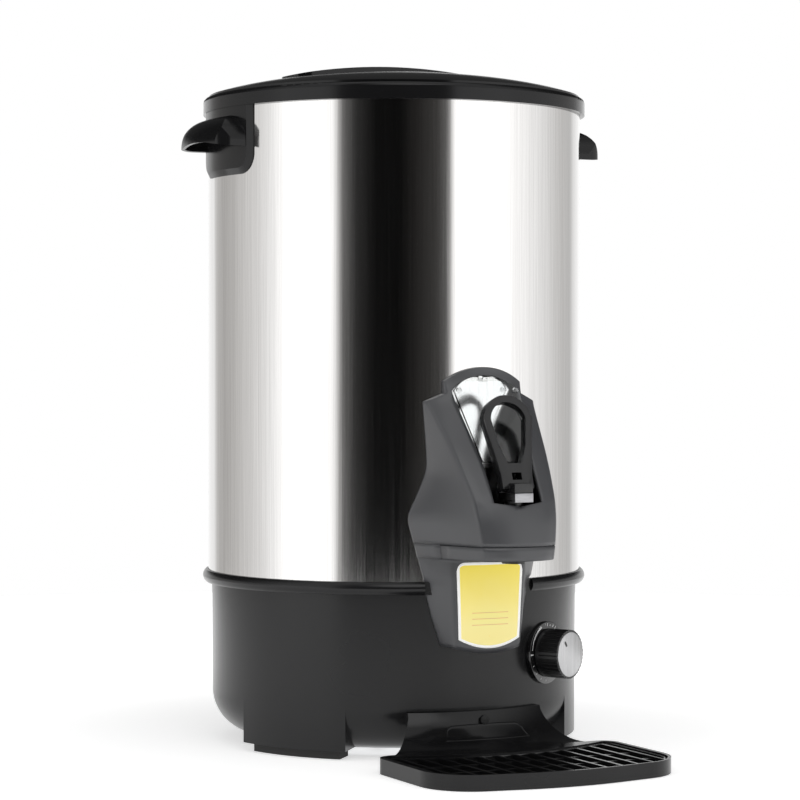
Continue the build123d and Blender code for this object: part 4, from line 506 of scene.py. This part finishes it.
# ---- machined and moulded edges ----
MERGE = 0.000004                      # points of a part's own mesh this close are one
FLAT_ANGLE = math.radians(0.6)        # faces that turn less than this become one
EDGE_ANGLE = math.radians(30.0)       # edges that turn more than this are rounded
EASED_NODES = (                       # node, body, slot, how far the round reaches
    ("lever", "lever", "lever_plastic", 0.0011),
    ("knob_cap", "knob", "knob_aluminium", 0.0003),
    ("dial_plate", "urn", "dial_gloss", 0.0005),
    ("bonnet_plate", "urn", "bonnet_metal", 0.0004),
    ("tray_grille", "grille", "grille_gloss", 0.0004),
)


def ease_edges(node, body, slot, width):
    """A merged copy of a part's own mesh with its edges rounded, in place of the part."""
    piece = linked(node + "_eased", frame["nodes"][node].data.copy())
    made = bmesh.new()
    made.from_mesh(piece.data)
    bmesh.ops.remove_doubles(made, verts=made.verts, dist=MERGE)
    bmesh.ops.dissolve_limit(made, angle_limit=FLAT_ANGLE, verts=made.verts, edges=made.edges)
    made.to_mesh(piece.data)
    made.free()
    smoothed(piece.data)
    edge = piece.modifiers.new("edge", "BEVEL")
    edge.width = width
    edge.segments = 3
    edge.limit_method = "ANGLE"
    edge.angle_limit = EDGE_ANGLE
    edge.harden_normals = True
    piece.data.materials.clear()
    return dressed(piece, body, slot, replaces=(node,))


# ---- the tap cover ----
JACKET_R = 135.0
BASE_R = 132.3
BASE_TOP = 122.7
# height, half width at the jacket, half width of the front crease, how far out the crease and the
# middle of the front stand
COVER_LEVELS = np.array((
    (139.3, 45.4, 27.0, 188.0, 196.0), (149.4, 48.0, 28.0, 188.6, 196.0),
    (167.0, 52.4, 30.0, 186.2, 192.8), (180.0, 46.7, 31.5, 182.0, 188.3),
    (198.7, 39.6, 34.3, 170.5, 176.6), (213.0, 40.0, 36.0, 160.8, 168.0),
    (248.0, 42.5, 41.6, 131.6, 146.5), (262.0, 42.5, 41.6, 131.2, 138.6),
    (271.0, 42.5, 41.6, 131.2, 138.6)))
PANEL_LEVELS = np.array((
    (72.0, 27.0, 24.2, 144.3, 146.3), (79.6, 29.3, 25.4, 144.8, 146.8),
    (97.0, 34.8, 26.4, 145.4, 147.4), (125.0, 41.6, 27.2, 145.8, 147.8),
    (139.3, 45.4, 27.5, 146.0, 148.0)))
COVER_BAND, PANEL_BAND = 5.0, 3.0     # how far up and down a table's levels are averaged
COVER_WALL = 0.0022
COVER_EDGE = 1.6                      # the edge that stands on the jacket before the flank leaves it
COVER_GAP = 0.06                      # between that edge and the jacket
CREASE_ROUND = 3.2
CREASE_STEPS = 7
FLANK_STEPS = (0.01, 0.3, 0.6, 0.9)   # shares of the way from the edge to the crease
FRONT_STEPS = (0.1, 0.35, 0.6, 0.8, 1.0)
NO_LIMIT = 99.0                       # wider than the cover anywhere

SHOULDER, SHOULDER_HALF = 245.4, 42.5
STEP_LOW, STEP_HIGH = 251.0, 259.0
ARCH_HALF = 29.5
PEAK = 269.0
CHANNEL_FOOT, CHANNEL_MID, CHANNEL_TOP, CHANNEL_PEAK = 178.6, 204.0, 253.0, 263.5
CHANNEL_HALVES = (18.4, 18.9, 25.6)   # at its foot, middle and top

NOSE_FOOT = 139.3                     # where the nose ends and the panel below it starts
NOSE_BACK = 150.4                     # how far out the back of the collar stands
SEAM = 149.5                          # between the collar and the nose
CHEEK_LOW, CHEEK_ROWS = 139.35, 5
CHIN_LOW, CHIN_RISE, CHIN_HALF = 74, 5.6, 29.3
PANEL_FOOT, PANEL_TALL, PANEL_ROWS = 72, 67.3, 22
LEDGE_HALF, LEDGE_RISE = 36, 0.05

COLLAR_HEIGHTS = (149.3, 149.1, 148.7, 146.0, 143.0, 140.6, 139.9, 139.6)
COLLAR_INSETS = (0.9, 0.45, 0.0, 0.0, 0.0, 0.0, 0.25, 0.8)
COLLAR_HALF = 40                      # the insets are taken as shares of this
COLLAR_WALL = 0.0014
UNDERSIDE, UNDERSIDE_ROWS = 139.55, 6


def level_at(levels, height, reach):
    """Each column of a table of levels at these heights, averaged over a band so that nothing
    creases."""
    drift = np.linspace(-reach, reach, 13)
    near = np.clip(np.asarray(height)[..., None] + drift, levels[0, 0], levels[-1, 0])
    return [np.interp(near, levels[:, 0], levels[:, column]).mean(axis=-1) for column in range(1, 5)]


def arc_half(height, half, low, high):
    """Half the width at a height of the arc that is 2 half wide at low and closes at high."""
    radius = (half ** 2 + (high - low) ** 2) / (2 * (high - low))
    return np.sqrt(np.maximum(radius ** 2 - (height - high + radius) ** 2, 0))


def cover_outer(height):
    """How far across the cover reaches: no limit, then a slope to the step, the step, and the arch."""
    slope = np.interp(height, (SHOULDER, STEP_LOW), (SHOULDER_HALF, ARCH_HALF))
    limit = np.where(height > STEP_HIGH, arc_half(height, ARCH_HALF, STEP_HIGH, PEAK), slope)
    return np.where(height < SHOULDER, NO_LIMIT, limit)


def cover_channel(height):
    """Half the width of the channel: nothing under its foot, two straight runs, then an arc."""
    side = np.interp(height, (CHANNEL_FOOT, CHANNEL_MID, CHANNEL_TOP), CHANNEL_HALVES)
    arch = arc_half(height, CHANNEL_HALVES[-1], CHANNEL_TOP, CHANNEL_PEAK)
    half = np.where(height > CHANNEL_TOP, arch, side)
    return np.where((height < CHANNEL_FOOT) | (height > CHANNEL_PEAK), 0.0, half)


def eased_corner(before, corner, after):
    """A quadratic curve that leaves one leg and joins the other at the round's reach from the corner,
    or at less than half of a leg that is short."""
    leg_a, leg_b = before - corner, after - corner
    size_a, size_b = np.linalg.norm(leg_a, axis=-1), np.linalg.norm(leg_b, axis=-1)
    reach = np.minimum(CREASE_ROUND, 0.45 * np.minimum(size_a, size_b))[:, None]
    start = corner + leg_a * reach / np.maximum(size_a, 1e-6)[:, None]
    end = corner + leg_b * reach / np.maximum(size_b, 1e-6)[:, None]
    return [start * (1 - t) ** 2 + corner * 2 * t * (1 - t) + end * t ** 2
            for t in np.linspace(0, 1, CREASE_STEPS)]


def cover_profile(height, levels, outer, inner, reach=COVER_BAND):
    """Rows of (across, out): from the jacket up its edge, along the flank, round the crease and along
    the bowed front, whose out falls from the middle as the square of its share of the way to the
    crease. The rows stay within outer and stop at inner."""
    side, crease, crease_out, nose_out = level_at(levels, height, reach)

    def front(across):
        """How far out the bowed front stands."""
        return nose_out - (nose_out - crease_out) * (across / crease) ** 2

    side = np.minimum(side, outer)
    corner_x = np.minimum(crease, outer)
    carrier = np.where(height > BASE_TOP, JACKET_R, BASE_R)
    seat = np.sqrt(carrier ** 2 - side ** 2)
    foot = np.stack([side, seat + COVER_EDGE], axis=-1)
    corner = np.stack([corner_x, front(corner_x)], axis=-1)
    end = np.stack([inner, front(inner)], axis=-1)
    run = eased_corner(foot, corner, end)
    columns = [np.stack([side, seat + COVER_GAP], axis=-1),
               np.stack([side, seat + 0.8 * COVER_EDGE], axis=-1)]
    columns += [foot + (run[0] - foot) * t for t in FLANK_STEPS] + run
    for t in FRONT_STEPS:
        across = run[-1][:, 0] + (inner - run[-1][:, 0]) * t
        columns.append(np.stack([across, front(across)], axis=-1))
    return np.stack(columns, axis=1)


def both_halves(profile, height):
    """Rows of (across, out) at their heights as the right half's grid, in metres, and the left half's
    as its mirror image."""
    height = height if np.ndim(height) == 2 else np.asarray(height)[:, None]
    height = np.broadcast_to(height, profile.shape[:2])
    right = np.stack([profile[..., 0], -profile[..., 1], height], axis=-1) / 1000
    return [facing(right, (1, -1, 0)), facing(right * (-1, 1, 1), (-1, -1, 0))]


def cover_skin():
    """The cover above its collar's seam. Its rows lie closer where the outline turns, and crowd as a
    square towards the tops of the channel and the arch, where the outline closes as a root."""
    foot = CHANNEL_FOOT
    height = np.concatenate([
        np.linspace(SEAM, foot, 12), [foot + 0.01], np.linspace(foot + 2, SHOULDER, 24),
        np.linspace(SHOULDER + 0.7, STEP_LOW, 6), [STEP_LOW + 0.01],
        np.linspace(STEP_LOW + 1, CHANNEL_TOP, 3), np.linspace(CHANNEL_TOP + 0.5, STEP_HIGH, 7),
        CHANNEL_PEAK - (CHANNEL_PEAK - STEP_HIGH) * np.linspace(0.9, 0, 12) ** 2,
        PEAK - (PEAK - CHANNEL_PEAK - 0.05) * np.linspace(1, 0, 12) ** 2])
    skin = cover_profile(height, COVER_LEVELS, cover_outer(height), cover_channel(height))
    return both_halves(skin, height)


def cover_cheeks():
    """The flanks beside the collar: the edge on the jacket, then straight towards the crease as far
    as the collar's back."""
    low = np.linspace(CHEEK_LOW, SEAM - 0.2, CHEEK_ROWS)
    side, crease, crease_out, _ = level_at(COVER_LEVELS, low, COVER_BAND)
    seat = np.sqrt(JACKET_R ** 2 - side ** 2)
    share = (NOSE_BACK - seat - COVER_EDGE) / (crease_out - seat - COVER_EDGE)
    stop = np.stack([side + (crease - side) * share, np.full(CHEEK_ROWS, NOSE_BACK)], axis=-1)
    foot = np.stack([side, seat + COVER_EDGE], axis=-1)
    edge = np.stack([side, seat + COVER_GAP], axis=-1)
    return both_halves(np.stack([edge, foot, (foot + stop) / 2, stop], axis=1), low)


def cover_panel():
    """The panel under the nose: the profile's rows, each column drawn between the chin, which rises
    as the square of the way across, and the nose's foot, and a ledge out to the collar's back."""
    unlimited, closed = np.full(PANEL_ROWS, NO_LIMIT), np.zeros(PANEL_ROWS)

    def panel_rows(height):
        """The panel's profile at these heights."""
        return cover_profile(height, PANEL_LEVELS, unlimited, closed, PANEL_BAND)

    share = np.linspace(0, 1, PANEL_ROWS)[:, None]
    panel = panel_rows(PANEL_FOOT + share[:, 0] * PANEL_TALL)
    chin = CHIN_LOW + CHIN_RISE * np.minimum(panel[..., 0] / CHIN_HALF, 1.0) ** 2
    height = chin + share * (NOSE_FOOT - chin)
    for column in range(panel.shape[1]):
        panel[:, column] = panel_rows(height[:, column])[:, column]
    ledge = panel[-1:].copy()
    ledge[..., 1] = np.where(ledge[..., 0] < LEDGE_HALF, np.maximum(ledge[..., 1], NOSE_BACK),
                             ledge[..., 1])
    panel = np.concatenate([panel, ledge], axis=0)
    return both_halves(panel, np.concatenate([height, height[-1:] + LEDGE_RISE], axis=0))


def make_tap_cover():
    """The cover as one thin wall: the skin above the seam, the panel under the nose and the cheeks
    between them."""
    grids = cover_skin() + cover_panel() + cover_cheeks()
    cover = thickened(welded(sheets_object("tap_cover_skin", grids)), COVER_WALL)
    return dressed(cover, "urn", "cover_plastic", replaces=("tap_cover",))


def make_nose_collar():
    """The collar under the nose: the cover's own profile, cut off at its back, a rounded top edge and a
    flat underside that runs from the outline straight back."""
    height, rows = np.array(COLLAR_HEIGHTS), len(COLLAR_HEIGHTS)
    inset = np.array(COLLAR_INSETS)[:, None]
    outline = cover_profile(height, COVER_LEVELS, np.full(rows, NO_LIMIT), np.zeros(rows))
    foot, run = outline[:, 1], outline[:, 2 + len(FLANK_STEPS):]
    share = ((NOSE_BACK - foot[:, 1]) / (run[:, 0, 1] - foot[:, 1]))[:, None]
    stop = foot + (run[:, 0] - foot) * share
    flank = [stop[:, None] + (run[:, :1] - stop[:, None]) * t for t in (0.0, 0.3, 0.6, 0.9)]
    columns = np.concatenate(flank + [run], axis=1)
    columns[..., 0] *= 1 - inset / COLLAR_HALF
    columns[..., 1] = NOSE_BACK + (columns[..., 1] - NOSE_BACK) * (1 - inset / COLLAR_HALF)
    under = np.repeat(columns[-1:], UNDERSIDE_ROWS, axis=0)
    back = np.linspace(0.03, 1, UNDERSIDE_ROWS)[:, None]
    under[..., 1] += (NOSE_BACK - under[..., 1]) * back
    columns = np.concatenate([columns, under])
    height = np.concatenate([height, np.full(UNDERSIDE_ROWS, UNDERSIDE)])
    collar = welded(sheets_object("nose_collar_skin", both_halves(columns, height)))
    thickened(collar, COLLAR_WALL)
    return dressed(collar, "urn", "cover_plastic", replaces=("nose_collar",))


# ---- the label ----
LABEL_LOW_HALF, LABEL_TOP_HALF = 23.4, 25.4
LABEL_CORNER = 6.0
LABEL_SIDE_LOW, LABEL_BOW = 84.0, 6.4  # the lower edge at its ends, and how far its middle hangs
LABEL_TOP = 136.5
LABEL_FOOT, LABEL_TALL = 77.6, 58.9
LABEL_PROUD = 0.5                     # of the panel
LABEL_WALL = 0.00045
BORDER_WIDTH = 1.9
RULE_HEIGHTS = (0.27, 0.34, 0.41)     # shares of the label's height
RULE_TALL, RULE_HALF = 0.008, 0.55


def make_label():
    """A thin plate that follows the panel: across times the half width at a height, between a bowed
    lower edge and an upper edge with round corners. Each point keeps its distance in from the rim,
    its rise and how far across it is."""
    across, up = np.linspace(-1, 1, 61)[None, :], np.linspace(0, 1, 71)[:, None]
    half = LABEL_LOW_HALF + (LABEL_TOP_HALF - LABEL_LOW_HALF) * up
    x = across * half
    bottom = LABEL_SIDE_LOW - LABEL_BOW * (1 - across ** 2)
    past = np.maximum(np.abs(x) - (LABEL_TOP_HALF - LABEL_CORNER), 0)
    top = LABEL_TOP - LABEL_CORNER + np.sqrt(np.maximum(LABEL_CORNER ** 2 - past ** 2, 0.0))
    z = bottom + up * (top - bottom)
    _, crease, crease_out, nose_out = level_at(PANEL_LEVELS, z, PANEL_BAND)
    out = nose_out - (nose_out - crease_out) * (x / crease) ** 2 + LABEL_PROUD
    plate = sheet_object("label_face", np.stack([x, -out, z], axis=-1) / 1000)
    rim = np.minimum(np.minimum((1 - np.abs(across)) * half, z - bottom), top - z)
    for name, values in (("rim", rim), ("rise", (z - LABEL_FOOT) / LABEL_TALL),
                         ("across", x / LABEL_TOP_HALF)):
        store = plate.data.attributes.new(name, "FLOAT", "POINT")
        store.data.foreach_set("value", np.broadcast_to(values, x.shape).ravel().astype(np.float32))
    thickened(welded(plate), LABEL_WALL)
    return dressed(plate, "urn", "label_yellow", label_film(), ("label_plate",))


# ---- the bare field on the tray's sweep ----
BASE_LOW_R = 131.7
# three points of the sweep, as (out, height)
SWEEP = ((BASE_LOW_R + 3.4, 33.5), (BASE_LOW_R + 14.8, 17.5), (BASE_LOW_R + 44.3, 10.5))
FIELD_HALF, FIELD_TAPER = 32.0, 0.04
FIELD_LOW, FIELD_TOP, FIELD_BOW = 15.6, 24.6, 0.9
FIELD_CORNER, CORNER_START = 6.0, 24.8
FIELD_TURN_R = 143.0                  # across over this is the turn round the urn's axis
FIELD_PROUD, FIELD_WALL = 0.08, 0.0003
BEAD_RISE, BEAD_PLACE, BEAD_WIDTH = 0.55, 0.8, 0.45


def sweep_radius(height):
    """How far out the sweep stands at a height: the near side of the circle through its three points,
    whose centre is where the chords' middle normals cross."""
    (a, b), (c, d), (e, f) = SWEEP
    normals = np.array(((c - a, d - b), (e - c, f - d)))
    centre = np.linalg.solve(normals, np.array(((c * c - a * a + d * d - b * b) / 2,
                                                (e * e - c * c + f * f - d * d) / 2)))
    radius = math.hypot(a - centre[0], b - centre[1])
    return centre[0] - np.sqrt(radius ** 2 - (height - centre[1]) ** 2)


def make_sweep_field():
    """A plain field with round upper corners and a slim raised edge: angle times half the width along
    the sweep, height between a level foot and a bowed top, and the sweep's own radius plus the edge's
    bead, which falls away on both sides as a bell curve."""
    across, up = np.linspace(-1, 1, 91)[None, :], np.linspace(0, 1, 31)[:, None]
    x = FIELD_HALF * across * (1 - FIELD_TAPER * up)
    past = np.maximum(np.abs(x) - CORNER_START, 0)
    corner = np.sqrt(np.maximum(FIELD_CORNER ** 2 - past ** 2, 0.2))
    top = FIELD_TOP + FIELD_BOW * (1 - across ** 2) - FIELD_CORNER + corner
    z = FIELD_LOW + up * (top - FIELD_LOW)
    rim = np.minimum(np.minimum((1 - np.abs(across)) * FIELD_HALF, 1.6 * (z - FIELD_LOW)),
                     1.3 * (top - z))
    bead = BEAD_RISE * np.exp(-((rim - BEAD_PLACE) / BEAD_WIDTH) ** 2)
    out = sweep_radius(z) + FIELD_PROUD + bead
    turn = np.arctan2(x, FIELD_TURN_R)
    points = np.stack([out * np.sin(turn), -out * np.cos(turn), z], axis=-1) / 1000
    field = thickened(welded(sheet_object("sweep_field", points)), FIELD_WALL)
    return dressed(field, "tray", "tray_gloss")


# ---- the dial's scale and the knob's mark ----
KNOB_TURN = math.radians(27.0)        # how far round from the tap the knob stands, to the right
KNOB_HEIGHT = 0.069
DIAL_FACE = 0.134
KNOB_FACE = 0.1532
DIAL_OUTWARD = (0.45, -0.89, 0)
PRINT_RISE, DIGIT_RISE, MARK_RISE = 0.00006, 0.00007, 0.00008

BAND_FOOT, BAND_START, BAND_STOP = 18.9, 19.3, 20.7
BAND_TURNS, BAND_STEPS = (172, 112), 24  # degrees, from nine to eleven o'clock
BAR_FOOT, BAR_TOP, BAR_TURNS = 17.6, 20.9, (179, 182)
TICK_FOOT, TICK_SHORT, TICK_LONG = 18.6, 19.9, 20.6
TICK_HALF = 0.8                       # degrees
TICK_TURNS = range(-60, 100, 10)
DOT_TOP, DOT_TURNS = 20.0, (205, 225, 245, 265)
DIGITS = (("1", 98), ("2", 68), ("3", 38), ("4", 8))
DIGIT_SIZE, DIGIT_R = 2.6, 20.0

MARK_TURN, MARK_R = math.radians(128), 9.6
MARK_REACH, MARK_STRAIGHT, MARK_HALF = 2.3, 1.35, 0.95


def on_dial(across, up, out):
    """Points on the dial's plane: across along it, up from its middle and out from the urn's axis."""
    across, up, out = np.broadcast_arrays(across, up, out)
    return np.stack([across * math.cos(KNOB_TURN) + out * math.sin(KNOB_TURN),
                     across * math.sin(KNOB_TURN) - out * math.cos(KNOB_TURN),
                     up + KNOB_HEIGHT], axis=-1)


def ring_patch(inner, outer, start, stop, steps):
    """A patch of a ring: radius from inner to outer (a number, or one for each step), angle from
    start to stop."""
    angle = np.radians(np.linspace(start, stop, steps))
    radii = np.stack([np.broadcast_to(inner * MM, steps), np.broadcast_to(outer * MM, steps)])
    patch = on_dial(radii * np.cos(angle), radii * np.sin(angle), DIAL_FACE + PRINT_RISE)
    return facing(patch, DIAL_OUTWARD)


def make_dial_scale(ink):
    """A widening band from nine to eleven o'clock, a start bar, a row of ticks and a few dots."""
    widening = np.linspace(BAND_START, BAND_STOP, BAND_STEPS)
    patches = [ring_patch(BAND_FOOT, widening, *BAND_TURNS, BAND_STEPS),
               ring_patch(BAR_FOOT, BAR_TOP, *BAR_TURNS, 4)]
    ticks = [(turn, TICK_LONG if turn % 30 == 0 else TICK_SHORT) for turn in TICK_TURNS]
    ticks += [(turn, DOT_TOP) for turn in DOT_TURNS]
    patches += [ring_patch(TICK_FOOT, top, turn - TICK_HALF, turn + TICK_HALF, 3)
                for turn, top in ticks]
    return dressed(welded(sheets_object("dial_scale", patches)), "urn", "dial_gloss", ink)


def make_dial_number(number, turn, ink):
    """A flat digit, upright on the dial's plane with its middle at a turn round the scale."""
    curve = bpy.data.curves.new("digit", "FONT")
    curve.body = number
    curve.size = DIGIT_SIZE * MM
    curve.align_x, curve.align_y = "CENTER", "CENTER"
    shape = bpy.data.meshes.new_from_object(bpy.data.objects.new("digit", curve))
    corners = np.empty(len(shape.vertices) * 3, dtype=np.float32)
    shape.vertices.foreach_get("co", corners)
    corners = corners.reshape(-1, 3)
    angle = math.radians(turn)
    placed = on_dial(corners[:, 0] + DIGIT_R * MM * math.cos(angle),
                     corners[:, 1] + DIGIT_R * MM * math.sin(angle), DIAL_FACE + DIGIT_RISE)
    shape.vertices.foreach_set("co", placed.astype(np.float32).ravel())
    return dressed(linked("dial_number_" + number, shape), "urn", "dial_gloss", ink)


def make_knob_mark():
    """A slim mark with round ends on the knob's face, as a capsule whose half width is the root of what
    its length leaves."""
    along = np.linspace(-MARK_REACH, MARK_REACH, 25)
    past = np.maximum(np.abs(along) - MARK_STRAIGHT, 0)
    half = np.sqrt(np.clip(MARK_HALF ** 2 - past ** 2, 1e-6, None))
    sides = np.stack([half, -half])
    x = MARK_R * math.cos(MARK_TURN) + along * math.cos(MARK_TURN) - sides * math.sin(MARK_TURN)
    y = MARK_R * math.sin(MARK_TURN) + along * math.sin(MARK_TURN) + sides * math.cos(MARK_TURN)
    points = facing(on_dial(x * MM, y * MM, KNOB_FACE + MARK_RISE), DIAL_OUTWARD)
    return dressed(welded(sheet_object("knob_mark", points)), "knob", "knob_plastic")


# ---- the whole urn ----
bpy.context.scene.view_settings.view_transform = "Standard"
make_camera()
make_studio()
make_floor()
dress_cad_nodes()
make_tap_cover()
make_nose_collar()
make_label()
make_sweep_field()
PRINT = white_print()
make_dial_scale(PRINT)
for digit, digit_turn in DIGITS:
    make_dial_number(digit, digit_turn, PRINT)
make_knob_mark()
for row in EASED_NODES:
    ease_edges(*row)
